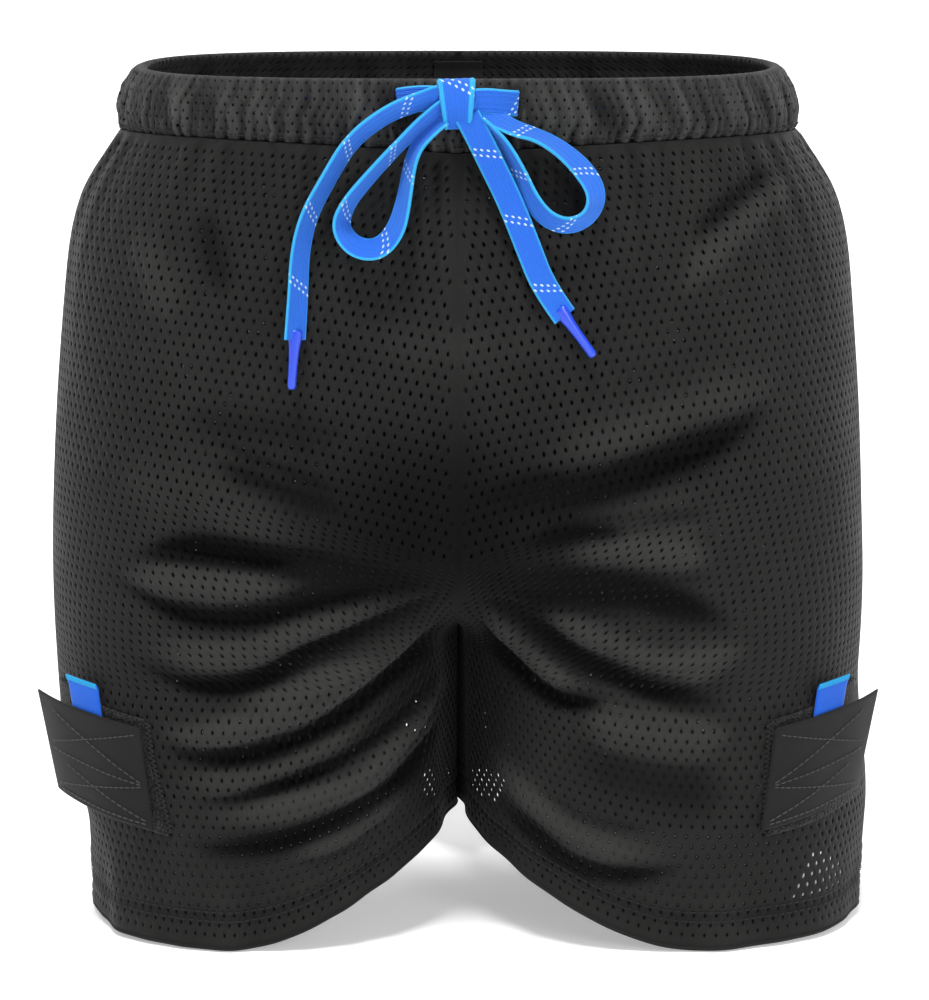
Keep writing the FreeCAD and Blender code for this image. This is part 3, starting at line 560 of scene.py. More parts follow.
def make_aglet(name, route, node):
    """Heat-crimped plastic end: flat where it grips the lace, round at its tip."""
    end = np.array(route[-1][:3])
    before = np.array(route[-2][:3])
    axis = unit(end - before)
    start = end - axis * 0.004
    outward = unit(np.array([0.0, -1.0, 0.0]) - axis * -axis[1])
    sideways = np.cross(axis, outward)
    profile = [(0.0, 0.0029, 0.0015), (0.0008, 0.0030, 0.0016), (0.004, 0.0028, 0.0017),
               (0.008, 0.0023, 0.0018), (0.013, 0.0020, 0.0019), (0.019, 0.0019, 0.0019),
               (0.0235, 0.0019, 0.0018), (0.0246, 0.0016, 0.0016), (0.025, 0.0009, 0.0009)]
    sides = 24
    angle = np.linspace(0.0, 2 * math.pi, sides, endpoint=False)
    lap = 1.0 + 0.05 * (np.arange(sides) == 5)
    rings = [start + axis * d + (sideways[None] * (np.cos(angle) * w * lap)[:, None]
                                 + outward[None] * (np.sin(angle) * t * lap)[:, None])
             for d, w, t in profile]
    faces = grid_faces(len(profile), sides, closed_columns=True).tolist()
    faces.append(list(range(sides))[::-1])
    faces.append(list(range((len(profile) - 1) * sides, len(profile) * sides)))
    measures = [[a * 2.0, d / MM] for d, _, _ in profile for a in angle]
    piece = make_piece(name, np.concatenate(rings), faces, aglet_plastic, "shorts", measures, 1.0)
    settle_normals(piece)
    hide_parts(node)
    return piece


right_aglet = make_aglet("right_aglet_crimped", right_tail, "right_aglet")
left_aglet = make_aglet("left_aglet_crimped", left_tail, "left_aglet")
lay_lace("lace_right_lead_and_left_loop", right_lead_and_left_loop, "lace_right_lead_left_loop",
         offset=9.0)
lay_lace("lace_left_lead_and_right_loop", left_lead_and_right_loop, "lace_left_lead_right_loop",
         offset=3.0)
lay_lace("lace_right_tail_flat", right_tail, "lace_right_tail", 20.0)
lay_lace("lace_left_tail_flat", left_tail, "lace_left_tail", 17.0)


def tie_knot():
    """The wrap of the bow: one turn of lace pulled round the others, with their bundle inside it."""
    centre = np.array([-0.0002, -0.1065, -0.0098])
    turns = np.linspace(0.0, 2 * math.pi, 96, endpoint=False)
    height, depth = 0.0097, 0.0052
    lean = np.radians(-9.0)
    loop = np.stack([0.0012 * np.cos(turns), -depth * np.sin(turns), height * np.cos(turns)], -1)
    spin = np.array([[math.cos(lean), 0, math.sin(lean)], [0, 1, 0], [-math.sin(lean), 0, math.cos(lean)]])
    loop = loop @ spin.T + centre
    outward = unit(loop - centre)
    section = ribbon_section(lace_width * 1.22, lace_thickness * 1.15)
    piece = ribbon("knot_wrap", loop, np.zeros(len(loop)), section, closed=True, base=outward)
    co = np.array([v.co for v in piece.data.vertices])
    share = np.clip((co[:, 2] - centre[2]) / height, -1, 1)
    co[:, 0] = centre[0] + (co[:, 0] - centre[0]) * (1.03 + 0.18 * share)
    piece.data.vertices.foreach_set("co", co.astype(np.float32).ravel())
    piece.data.update()
    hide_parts("lace_knot")
    bundle = []
    sides, count = 20, 9
    angle = np.linspace(0, 2 * math.pi, sides, endpoint=False)
    for x, size in zip(np.linspace(-0.0078, 0.0078, count),
                       [0.55, 0.8, 0.92, 0.97, 1.0, 0.97, 0.92, 0.8, 0.55]):
        ring = np.stack([np.full(sides, x), 0.0040 * size * np.cos(angle) * (1 + 0.1 * np.cos(4 * angle)),
                         0.0080 * size * np.sin(angle) * (1 + 0.06 * np.cos(5 * angle))], -1)
        bundle.append(ring + centre)
    faces = grid_faces(count, sides, closed_columns=True).tolist()
    faces.append(list(range(sides))[::-1])
    faces.append(list(range((count - 1) * sides, count * sides)))
    measures = [[4.0 * math.cos(a), n * 2.0] for n in range(count) for a in angle]
    core = make_piece("knot_core", np.concatenate(bundle), faces, lace_weave, "shorts", measures, 1.0)
    settle_normals(core)


tie_knot()


# ---- shape of the cloth, in millimetres --------------------------------------------------------
side_drop, hem_drop = 25.0, 374.0
fork_start, fork_end = 0.415, 0.680


def smoothstep(value):
    value = np.clip(value, 0.0, 1.0)
    return value * value * (3.0 - 2.0 * value)


def smooth_curve(values):
    """Curve through the garment's stations, as a function of height."""
    heights = -np.array([374.0, 300.0, 205.0, 95.0, 55.0, 25.0])
    values = np.array(values[::-1], float)
    slopes = np.empty(len(values))
    slopes[1:-1] = (values[2:] - values[:-2]) / (heights[2:] - heights[:-2])
    slopes[0] = (values[1] - values[0]) / (heights[1] - heights[0])
    slopes[-1] = (values[-1] - values[-2]) / (heights[-1] - heights[-2])

    def at(z):
        z = np.clip(z, heights[0], heights[-1])
        i = np.clip(np.searchsorted(heights, z, side="right") - 1, 0, len(heights) - 2)
        span = heights[i + 1] - heights[i]
        t = (z - heights[i]) / span
        return ((1 + 2 * t) * (1 - t) ** 2 * values[i] + t * (1 - t) ** 2 * span * slopes[i]
                + t * t * (3 - 2 * t) * values[i + 1] + t * t * (t - 1) * span * slopes[i + 1])
    return at


# From the waist seam down: waist seam, flare, yoke, hip, thigh, hem.
half_width = smooth_curve([150.5, 169.0, 176.5, 183.0, 180.0, 176.0])
front_depth = smooth_curve([98.0, 103.0, 105.0, 106.0, 101.0, 99.0])
back_depth = smooth_curve([100.0, 108.0, 115.0, 121.0, 110.0, 104.0])
body_square = smooth_curve([2.25, 2.25, 2.475, 2.7, 2.7, 2.7])


def superellipse(angle, squareness):
    c, s = np.cos(angle), np.sin(angle)
    r = (np.abs(c) ** squareness + np.abs(s) ** squareness) ** (-1.0 / squareness)
    return c * r, s * r


def cloth_point(around, down):
    """Outer face of the half at -X. around is 0 at the side seam, 1 at the middle front and the
    inseam, -1 at the middle back; down is 0 at the waist seam and 1 at the hem."""
    around, down = np.broadcast_arrays(np.asarray(around, float), np.asarray(down, float))
    front = around >= 0
    u = np.abs(around)
    side_z = -side_drop - down * (hem_drop - side_drop)
    width = half_width(side_z)
    depth = np.where(front, front_depth(side_z), back_depth(side_z))
    top = np.where(front, -31.0, -21.0)
    turn = np.where(front, -205.0, -198.0)
    fork = np.clip((down - fork_start) / (fork_end - fork_start), 0.0, 1.0) ** 1.5
    upper = top + (turn - top) * down / fork_start
    middle = turn + (-246.0 - turn) * np.sin(math.pi / 2 * fork)
    lower = -246.0 - (down - fork_end) / (1 - fork_end) * 84.0
    inner_z = np.where(down < fork_start, upper, np.where(down < fork_end, middle, lower))
    square = body_square(side_z)
    reach = np.maximum(0.0, 1 - np.maximum(0.0, np.cos(math.pi / 2 * fork)) ** square) ** (1 / square)
    parted = 2 * reach / (1 + reach)
    square = square + (2.5 - square) * parted
    centre = -width * parted / 2
    half = width + centre
    ratio = half / np.maximum(-centre, 1e-6)
    slope = np.maximum(0.0, ratio ** square - 1) ** (1 / square)
    sweep = np.where(parted > 1e-5, math.pi - np.arctan(slope), math.pi / 2)
    c, s = superellipse(sweep * u, square)
    x = centre - half * c
    x = x - 0.15 * smoothstep((down - fork_end) / 0.05) * (1 + x / width)
    y = depth * s
    open_leg = smoothstep((down - fork_start) / (1 - fork_start))
    lift = u ** 3 + (smoothstep((u - 0.45) / 0.45) - u ** 3) * open_leg
    z = side_z + (inner_z - side_z) * lift - 3.0 * open_leg * np.sin(math.pi * u) ** 2
    return np.stack([x, np.where(front, -y, y), z], -1)


def cloth_normal(around, down):
    step = 1e-4
    u = np.clip(around, -0.9995, 0.9995)
    v = np.clip(down, 0.0005, 0.9995)
    da = cloth_point(u + step, v) - cloth_point(u - step, v)
    db = cloth_point(u, v + step) - cloth_point(u, v - step)
    return unit(np.cross(db, da))


# Folds as seen from the front, each with its height in millimetres (a hollow is negative), its
# half-width and the points it runs through, across and up from the middle of the waist.
front_folds = [
    # the wearer's right leg: hollows and ridges that fan out from the crotch
    (-2.2, 9.0, [(-125, -142), (-100, -148), (-70, -150), (-42, -148)]),
    (1.6, 12.0, [(-150, -172), (-120, -176), (-90, -186), (-56, -196)]),
    (-1.6, 6.0, [(-108, -160), (-88, -168), (-66, -176), (-44, -184)]),
    (-4.6, 4.6, [(-142, -204), (-122, -199), (-100, -200), (-76, -204), (-44, -208), (-10, -210)]),
    (2.6, 6.0, [(-148, -212), (-122, -214), (-93, -216), (-60, -215)]),
    (-2.8, 4.8, [(-156, -210), (-133, -221), (-110, -228), (-84, -227), (-54, -221), (-26, -214),
                 (-4, -211)]),
    (3.0, 6.5, [(-140, -240), (-114, -246), (-88, -245), (-62, -235), (-34, -226), (-10, -219)]),
    (-3.6, 4.8, [(-146, -246), (-127, -254), (-108, -257), (-86, -254), (-66, -243), (-44, -234), (-18, -223),
                 (-2, -216)]),
    (1.8, 5.0, [(-100, -262), (-80, -262), (-60, -254), (-42, -244)]),
    (4.4, 7.0, [(-136, -277), (-114, -281), (-86, -276), (-62, -265), (-44, -254), (-24, -243), (-8, -231)]),
    (-3.6, 5.0, [(-131, -288), (-105, -290), (-80, -286), (-54, -273), (-32, -259), (-12, -243), (-2, -227)]),
    (2.2, 5.0, [(-128, -301), (-102, -301), (-76, -293), (-52, -284), (-32, -271)]),
    (-2.2, 4.0, [(-108, -309), (-74, -301), (-46, -290), (-26, -278), (-9, -260)]),
    (3.4, 5.6, [(-118, -318), (-94, -316), (-66, -310), (-44, -303), (-28, -290), (-12, -273), (-3, -254)]),
    (-2.8, 5.0, [(-126, -328), (-106, -332), (-80, -328), (-54, -320), (-32, -308), (-14, -291), (-3, -268)]),
    (2.0, 5.0, [(-80, -335), (-56, -329), (-36, -318), (-20, -303)]),
    # the wearer's left leg
    (3.4, 11.0, [(20, -166), (52, -158), (86, -147), (118, -134), (140, -122)]),
    (-4.2, 8.0, [(4, -180), (26, -176), (52, -173), (84, -163), (114, -150), (138, -136)]),
    (1.8, 9.0, [(16, -188), (48, -182), (84, -180), (112, -176)]),
    (2.4, 8.0, [(40, -201), (66, -199), (92, -201), (112, -204)]),
    (-1.8, 4.0, [(26, -199), (44, -193), (60, -192), (76, -194)]),
    (-3.4, 7.0, [(2, -208), (26, -214), (52, -215), (78, -218), (102, -226), (122, -234)]),
    (3.6, 7.0, [(26, -222), (46, -232), (66, -243), (88, -250), (110, -246), (128, -240)]),
    (-3.2, 6.0, [(3, -213), (26, -228), (48, -242), (70, -253), (94, -261), (120, -269)]),
    (3.0, 5.5, [(8, -222), (24, -239), (40, -253), (58, -262)]),
    (-3.4, 4.0, [(5, -228), (18, -246), (36, -262), (54, -266), (66, -262)]),
    (2.8, 7.0, [(50, -271), (70, -278), (98, -282), (122, -278)]),
    (-2.4, 14.0, [(36, -288), (66, -298), (96, -306), (120, -310)]),
    (2.6, 7.0, [(14, -288), (26, -308), (44, -324), (66, -333), (94, -333)]),
    (-2.2, 5.0, [(14, -306), (30, -323), (50, -337), (76, -342), (100, -339)]),
    # creases that start at the waist seam
    (1.6, 6.0, [(148, -40), (128, -56), (106, -76), (92, -96)]),
    (-1.6, 5.0, [(140, -36), (118, -52), (96, -70)]),
    (1.0, 7.0, [(-140, -60), (-128, -84), (-120, -110)]),
    (-1.0, 7.0, [(-112, -52), (-104, -74), (-98, -96)]),
    (1.2, 10.0, [(-60, -96), (-20, -112), (20, -112), (60, -98)]),
]
back_folds = [
    (3.0, 10.0, [(-140, -186), (-100, -200), (-60, -206), (-20, -204)]),
    (-3.6, 7.0, [(-146, -208), (-110, -220), (-70, -226), (-30, -220), (-6, -212)]),
    (2.6, 8.0, [(-136, -232), (-100, -242), (-66, -244), (-30, -236)]),
    (-2.8, 6.0, [(-132, -256), (-98, -264), (-62, -262), (-30, -250), (-8, -232)]),
    (2.4, 7.0, [(-120, -284), (-84, -290), (-50, -282), (-22, -262)]),
    (-2.2, 6.0, [(-126, -306), (-88, -312), (-52, -302), (-24, -284)]),
    (2.2, 8.0, [(-100, -330), (-66, -328), (-36, -312)]),
    (2.8, 10.0, [(140, -192), (104, -204), (64, -210), (22, -206)]),
    (-3.4, 7.0, [(148, -214), (112, -228), (70, -230), (32, -222), (6, -213)]),
    (2.8, 8.0, [(132, -242), (98, -252), (60, -250), (28, -238)]),
    (-2.6, 6.0, [(136, -268), (96, -276), (58, -270), (28, -254), (8, -236)]),
    (2.4, 8.0, [(124, -296), (88, -302), (50, -292), (24, -272)]),
    (-2.2, 6.0, [(120, -322), (84, -326), (48, -314), (22, -294)]),
    (1.8, 12.0, [(-150, -90), (-120, -130), (-100, -160)]),
    (1.8, 12.0, [(150, -84), (122, -124), (104, -156)]),
    (-1.6, 8.0, [(-60, -150), (-20, -170), (20, -170), (60, -152)]),
]


def smooth_line(points, per_run=5):
    """More points along a stroke, on a Catmull-Rom curve through the given ones."""
    p = np.array(points, float)
    p = np.concatenate([[2 * p[0] - p[1]], p, [2 * p[-1] - p[-2]]])
    made = []
    for a, b, c, d in zip(p, p[1:], p[2:], p[3:]):
        for t in np.arange(per_run) / per_run:
            made.append(0.5 * (2 * b + (c - a) * t + (2 * a - 5 * b + 4 * c - d) * t ** 2
                               + (3 * b - a - 3 * c + d) * t ** 3))
    made.append(p[-2])
    return np.array(made)


def fold_height(x, z, folds):
    total = np.zeros(len(x))
    for height, width, stroke in folds:
        line = smooth_line(stroke)
        low, high = line.min(0) - 2.6 * width, line.max(0) + 2.6 * width
        near = np.nonzero((x > low[0]) & (x < high[0]) & (z > low[1]) & (z < high[1]))[0]
        if not len(near):
            continue
        place = np.stack([x[near], z[near]], -1)
        best = np.full(len(near), 1e9)
        share = np.zeros(len(near))
        for index, (start, end) in enumerate(zip(line, line[1:])):
            run = end - start
            t = np.clip((place - start) @ run / (run @ run), 0.0, 1.0)
            gap = np.sum((place - start - t[:, None] * run) ** 2, 1)
            closer = gap < best
            best = np.where(closer, gap, best)
            share = np.where(closer, (index + t) / (len(line) - 1), share)
        ends = smoothstep(share / 0.32) * smoothstep((1 - share) / 0.32)
        total[near] += height * ends * np.exp(-best / (width * (0.5 + 0.5 * ends)) ** 2)
    return total


def creases_beside(folds):
    """Small creases that run beside the larger folds of the legs."""
    order = np.random.default_rng(12)
    made = []
    for height, width, stroke in folds:
        if len(stroke) < 4 or max(z for _, z in stroke) > -150 or width > 9:
            continue
        for _ in range(2):
            start = int(order.integers(0, len(stroke) - 3))
            away = order.uniform(0.7, 1.5) * width * order.choice([-1, 1])
            tilt = order.uniform(-1.6, 1.6)
            part = [(x + order.uniform(-2, 2), z + away + tilt * k)
                    for k, (x, z) in enumerate(stroke[start:start + 4])]
            small = order.uniform(0.5, 1.1) * order.choice([-1, 1])
            made.append((small, width * order.uniform(0.28, 0.45), part))
    return made


def wavering(value, seed, wavelength):
    """Uneven ripple along a line, about from -1 to 1, the same each time."""
    order = np.random.default_rng(seed)
    total = 0.0
    for share in (1.0, 1.37, 0.71, 1.93):
        phase, stretch = order.uniform(0, 2 * math.pi), order.uniform(0.9, 1.1)
        total = total + (np.sin(value * 2 * math.pi * share * stretch / wavelength + phase)
                         * (0.6 / share ** 0.5))
    return total / 1.6


front_folds = front_folds + creases_beside(front_folds)
back_folds = back_folds + creases_beside(back_folds)
fold_strength = 1.55


def slack(around, down, point, side):
    """How far the cloth stands off its cut shape: folds, and gathers under the waist seam."""
    x, z = point[:, 0] * -side, point[:, 2]
    front = around >= 0
    total = np.zeros(len(x))
    total[front] = fold_height(x[front], z[front], front_folds)
    total[~front] = fold_height(x[~front], z[~front], back_folds)
    u = np.abs(around)
    over_pocket = front * smoothstep((84.0 - np.abs(x)) / 18.0) * smoothstep((z + 224.0) / 16.0)
    total *= fold_strength
    shallow = np.where(total < 0, -2.3 * np.tanh(-total / 2.3), total)
    total = total + (shallow - total) * over_pocket
    total *= smoothstep(u / 0.14) * smoothstep(down / 0.05)
    total *= 1 - (1 - smoothstep((1 - u) / 0.09)) * smoothstep((down - 0.33) / 0.08)
    tab = (smoothstep((np.abs(x) - 118.0) / 12.0) * smoothstep((z + 352.0) / 20.0)
           * smoothstep((-252.0 - z) / 16.0))
    total *= 1 - np.where(front, tab, 0.0) * 0.92
    girth = np.arctan2(point[:, 1], x) * 150.0
    gathers = wavering(girth, 21, 15.0) * 1.15 * np.exp(-down / 0.10) * smoothstep(down / 0.012)
    drape = wavering(girth * 0.6 + z * 0.25, 22, 60.0) * 0.9 * smoothstep(down / 0.1)
    hem = wavering(girth, 23 + side, 34.0) * 0.9 * smoothstep((down - 0.86) / 0.12) * smoothstep(u / 0.1)
    middle = smoothstep((1 - u) / 0.06)
    stitched = 1 - 19.0 / 349.0
    total = total + 0.75 * np.exp(-((down - 0.988) / 0.008) ** 2)
    total = total - 0.7 * np.exp(-((down - stitched - 0.012) / 0.004) ** 2)
    total = total + 0.55 * np.exp(-((down - stitched + 0.006) / 0.007) ** 2)
    return total + (gathers + drape * 0.6 * smoothstep(u / 0.14) + hem) * np.where(down < 0.33, 1.0, middle)


def painted_shade_height(around, down, side):
    """Height that sets the painted shade: the folds, and painted shade low on the belly and at the crotch."""
    point = cloth_point(around, down)
    x, z = point[:, 0] * -side, point[:, 2]
    front = around >= 0
    sharp = [fold for fold in front_folds if fold[1] < 9.0]
    total = slack(around, down, point, side) * 0.3
    total[front] += fold_height(x[front], z[front], sharp) * 0.95
    # Broad painted shade: darker colour low on the belly and between the legs at the crotch.
    belly_painted_shade = 3.4 * np.exp(-((x + 6.0) / 52.0) ** 2 - ((z + 192.0) / 40.0) ** 2)
    crotch_painted_shade = 2.2 * np.exp(-(x / 20.0) ** 2) * smoothstep((-235.0 - z) / 30.0)
    return total - np.where(front, belly_painted_shade + crotch_painted_shade, crotch_painted_shade)


def settled(point):
    """The right leg hangs a little narrower than it was cut and the left one wider.

    Where the legs press together, their shared face is wavy.
    """
    point = point.copy()
    x, z = point[:, 0], point[:, 2]
    share = np.abs(x) / 176.0
    narrow = smoothstep((-286.0 - z) / 52.0) * 8.5
    wide = smoothstep((-262.0 - z) / 70.0) * 8.0
    point[:, 0] = np.where(x < 0, x + narrow * share ** 2, x + wide * share ** 2)
    pressed = np.exp(-(x / 11.0) ** 2) * smoothstep((-200.0 - z) / 14.0)
    point[:, 0] += 1.3 * np.sin(point[:, 1] / 6.0) * pressed
    return point


def seam_dip(around, down):
    """The edges of a panel roll inward where they are sewn."""
    u = np.abs(around)
    reach = np.where(u > 0.5, (1 - u), u) * 280.0
    reach = reach + 40.0 * ((u > 0.5) & (down > fork_start))
    middle_front = (around > 0.5) & (down <= fork_start)
    return np.where(middle_front, 0.45, 1.0) * seam_roll(reach)


def seam_roll(reach):
    return -1.3 * np.exp(-(reach / 1.6) ** 2) - 0.35 * np.exp(-(reach / 5.0) ** 2)


def lay_cloth(around, down, out, side, folded=True):
    """Points of one half, side -1 at -X and 1 at +X, at a distance out of the cloth's face."""
    shape = np.asarray(around).shape
    around, down = np.ravel(around), np.ravel(down)
    point = cloth_point(around, down)
    normal = cloth_normal(around, down)
    lift = np.asarray(out) + (slack(around, down, point, side) + seam_dip(around, down) if folded else 0.0)
    point = point + normal * np.reshape(lift, (-1, 1))
    if side > 0:
        point = point * np.array([-1.0, 1.0, 1.0])
    return settled(point).reshape(*shape, 3)


class Flat:
    """Cloth on a curved surface, measured along itself: s across from a reference line, t down."""

    def __init__(self, surface, a_span, b_span, reference, samples=161):
        self.a = np.linspace(*a_span, samples)
        self.b = np.linspace(*b_span, samples)
        grid = surface(*np.meshgrid(self.a, self.b))
        step = np.linalg.norm(np.diff(grid, axis=1), axis=2)
        across = np.concatenate([np.zeros((samples, 1)), np.cumsum(step, 1)], 1)
        line = int(round(reference * (samples - 1)))
        across -= across[:, line:line + 1]
        self.low, self.high = across[:, 0], across[:, -1]
        self.depth = lengths_along(grid[:, line])
        self.height = self.depth[-1]
        shares = np.linspace(0.0, 1.0, samples)
        self.inverse = np.stack([np.interp(l + shares * (h - l), row, self.a)
                                 for l, h, row in zip(self.low, self.high, across)])

    def limits(self, t):
        return np.interp(t, self.depth, self.low), np.interp(t, self.depth, self.high)

    def place(self, s, t):
        samples = len(self.a)
        low, high = self.limits(t)
        row = np.clip(np.interp(t, self.depth, np.arange(samples)), 0, samples - 1.001)
        column = np.clip((s - low) / (high - low), 0.0, 1.0) * (samples - 1)
        column = np.minimum(column, samples - 1.000001)
        i, j = row.astype(int), column.astype(int)
        fi, fj = row - i, column - j
        across = (self.inverse[i, j] * (1 - fi) * (1 - fj) + self.inverse[i + 1, j] * fi * (1 - fj)
                  + self.inverse[i, j + 1] * (1 - fi) * fj + self.inverse[i + 1, j + 1] * fi * fj)
        return across, np.interp(t, self.depth, self.b)


hole_pitch = 4.65          # between holes in one row
hole_row = 4.4             # between rows, each shifted by half a pitch
hole_size = (0.66, 1.12)   # half-width and half-height
corner_steps = np.array([(2, 0), (1, 1), (0, 2), (-1, 1), (-2, 0), (-1, -1), (0, -2), (1, -1)], float)


def net(name, flat, surface, material, body, margins=(4.0, 4.0), shift=0.0, flip=False, holes=True,
        size=hole_size, pitch=hole_pitch, row=hole_row, throat=None, relief=None):
    """Mesh cloth with real holes. surface(a, b, out) gives points; margins are at the sides and ends."""
    rows = int(flat.height / row) + 2
    columns = int(max(-flat.low.min(), flat.high.max()) / pitch) + 2
    j, i = [v.ravel() for v in np.meshgrid(np.arange(-1, rows + 1), np.arange(-columns, columns + 1),
                                           indexing="ij")]
    s = (i + 0.5 * (j % 2) + shift) * pitch
    t = j * row + 0.35 * row
    edge = corner_steps * np.array([pitch / 4, row / 2])
    edge_s, edge_t = s[:, None] + edge[:, 0], t[:, None] + edge[:, 1]
    cut_t = np.clip(edge_t, 0.0, flat.height)
    low, high = flat.limits(cut_t)
    cut_s = np.clip(edge_s, low, high)
    area = np.abs(np.sum(cut_s * np.roll(cut_t, -1, 1) - np.roll(cut_s, -1, 1) * cut_t, 1)) / 2
    keep = area > 0.02
    s, t, cut_s, cut_t, edge_s, edge_t = (s[keep], t[keep], cut_s[keep], cut_t[keep],
                                          edge_s[keep], edge_t[keep])
    low, high = flat.limits(t)
    open_cell = ((cut_s == edge_s) & (cut_t == edge_t)).all(1) & holes
    open_cell &= (s > low + margins[0]) & (s < high - margins[0])
    open_cell &= (t > margins[1]) & (t < flat.height - margins[1])
    keys = np.round(cut_s * 2000).astype(np.int64) * 10_000_000 + np.round(cut_t * 2000).astype(np.int64)
    unique, first, index = np.unique(keys, return_index=True, return_inverse=True)
    index = index.reshape(cut_s.shape)
    points_s, points_t = [cut_s.ravel()[first]], [cut_t.ravel()[first]]
    out = [np.zeros(len(unique))]
    count = len(unique)
    faces = []
    angle = np.arange(8) * math.pi / 4
    opened = np.nonzero(open_cell)[0]
    if len(opened):
        wobble = 1 + random_order.uniform(-0.1, 0.1, (len(opened), 1))
        lean = random_order.uniform(-0.1, 0.1, (len(opened), 1))
        through = np.full((len(opened), 1), 0.8)
        if throat is not None:
            centre_a, centre_b = flat.place(s[opened], t[opened])
            through = throat(surface(centre_a, centre_b, np.zeros(len(opened))), centre_b)[:, None]
        depth = np.where(through < 0.5, -0.95, -0.42)
        for share, level in ((1.0, np.full_like(through, -0.05)), (through, depth)):
            ring_t = np.sin(angle) * size[1] * share * wobble
            points_s.append((s[opened, None] + np.cos(angle) * size[0] * share * wobble
                             + lean * ring_t).ravel())
            points_t.append((t[opened, None] + ring_t).ravel())
            out.append(np.repeat(level.ravel(), 8))
        lip = count + np.arange(len(opened) * 8).reshape(-1, 8)
        inner = lip + len(opened) * 8
        count += len(opened) * 16
        border = index[opened]
        for one, two in ((border, lip), (lip, inner)):
            faces.append(np.stack([one, np.roll(one, -1, 1), np.roll(two, -1, 1), two], -1).reshape(-1, 4))
    closed = np.nonzero(~open_cell)[0]
    polygons = []
    if len(closed):
        points_s.append(cut_s[closed].mean(1))
        points_t.append(cut_t[closed].mean(1))
        out.append(np.zeros(len(closed)))
        hub = count + np.arange(len(closed))
        border = index[closed]
        for k in (0, 2, 4, 6):
            quad = np.stack([hub, border[:, k - 1], border[:, k], border[:, (k + 1) % 8]], -1)
            for face in quad.tolist():
                tidy = [v for n, v in enumerate(face) if v != face[n - 1]]
                if len(set(tidy)) == len(tidy) and len(tidy) > 2:
                    polygons.append(tidy)
    points_s, points_t, out = np.concatenate(points_s), np.concatenate(points_t), np.concatenate(out)
    a, b = flat.place(points_s, points_t)
    points = surface(a, b, out)
    faces = (np.concatenate(faces).tolist() if faces else []) + polygons
    if flip:
        faces = [face[::-1] for face in faces]
    # Painted shade: the deep pits of nearly shut holes get a darker colour.
    painted_shade_level = None if relief is None else relief(a, b) - 5.0 * (out < -0.3)
    return make_piece(name, points, faces, material, body, np.stack([points_s, points_t], -1), relief=painted_shade_level)


def stretched_open(front):
    """Holes are nearly shut at the back and near the hems, and open where the cloth is stretched."""
    def throat(point, down):
        x, z = point[:, 0], point[:, 2]
        if front:
            between = (((x > -15.0) & (x < -2.0) & (z < -276.0) & (z > -318.0))
                       | ((x > 6.0) & (x < 20.0) & (z < -290.0) & (z > -318.0)))
            outer_leg = (np.abs(x - 165.0 - (z + 337.0) * 0.35) < 11.0) & (z < -312.0) & (z > -358.0)
            shut = down > 0.82
        else:
            between = (np.abs(x) < 26.0) & (z < -306.0)
            outer_leg = (x > 152.0) & (z < -346.0)
            shut = down >= 0.0
        return np.where(between | outer_leg, 0.9, np.where(shut, 0.13, 0.8))
    return throat


def panel(name, node, side, front):
    sign = 1.0 if front else -1.0
    flat = Flat(lambda a, b: cloth_point(a, b), (0.0, sign), (0.0, 1.0), 0.45)
    # The cloth carries painted shade: darker in fold hollows, low on the belly and at the crotch, paler on
    # ridges.
    piece = net(name, flat, lambda a, b, out: lay_cloth(a, b, out, side), mesh_cloth, "shorts",
                margins=(1.7, 3.0), flip=(side * sign > 0), throat=stretched_open(front),
                relief=lambda a, b: painted_shade_height(a, b, side))
    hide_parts(node)
    return piece


def body_of_cloth():
    for side, hand in ((-1, "right"), (1, "left")):
        panel(hand + "_front_cloth", hand + "_front_panel", side, True)
        panel(hand + "_back_cloth", hand + "_back_panel", side, False)


body_of_cloth()


# ---- waistband ---------------------------------------------------------------------------------
front_drop, back_drop, back_rise = 31.0, 21.0, 6.0
lining_face = -6.6         # inner face of the casing, behind the elastic


def band_point(turn, height):
    """Outer face of the waistband in millimetres: turn 0 is +X and 90 the back, height 0 the seam."""
    turn, height = np.broadcast_arrays(np.asarray(turn, float), np.asarray(height, float))
    c, s = superellipse(np.radians(turn), 2.25)
    share = 1 - np.abs((turn + 360.0) % 180.0 - 90.0) / 90.0
    swell = 2.7 * np.clip(np.minimum(height / 0.35, (1 - height) / 0.3), 0.0, 1.0)
    half = 150.5 - 6.5 * height + swell
    depth = np.where(s > 0, 100.0 - 4.0 * height, 98.0 - 3.0 * height) + swell
    drop = np.where(s > 0, back_drop, front_drop)
    low = -side_drop + (side_drop - drop) * share ** 3 + 0.25
    high = back_rise * (1 - np.cos(math.pi * (1 + s) / 2)) / 2
    return np.stack([half * c, depth * s, low + (high - low) * height], -1)


def band_normal(turn, height):
    step = 1e-2
    d = band_point(np.asarray(turn) + step, height) - band_point(np.asarray(turn) - step, height)
    return unit(np.stack([d[..., 1], -d[..., 0], np.zeros_like(d[..., 0])], -1))


def lay_band(turn, height, out):
    """Smooth points of the band, without its gathers."""
    return band_point(turn, height) + band_normal(turn, height) * np.reshape(out, (*np.shape(turn), 1))


def casing_point(turn, way, out=0.0, gathered=True):
    """way runs from 0 at the outer seam, over the rim at 1, to 2 at the inner seam."""
    turn, way = np.broadcast_arrays(np.asarray(turn, float), np.asarray(way, float))
    over = np.clip((way - 0.9) / 0.2, 0.0, 1.0)
    inside = smoothstep(over)
    height = np.where(way < 0.9, way / 0.9 * 0.93, np.where(way > 1.1, (2.0 - way) / 0.9 * 0.93,
                      0.93 + 0.075 * np.sin(math.pi * over)))
    level = lining_face * inside + out * np.where(way < 1.0, 1.0, -1.0) * (1 - np.sin(math.pi * over))
    point = band_point(turn, height) + band_normal(turn, height) * level[..., None]
    if not gathered:
        return point
    lift = band_gathers(turn, way)
    return point + band_normal(turn, height) * (lift * (1 - 0.6 * np.sin(math.pi * over)))[..., None]


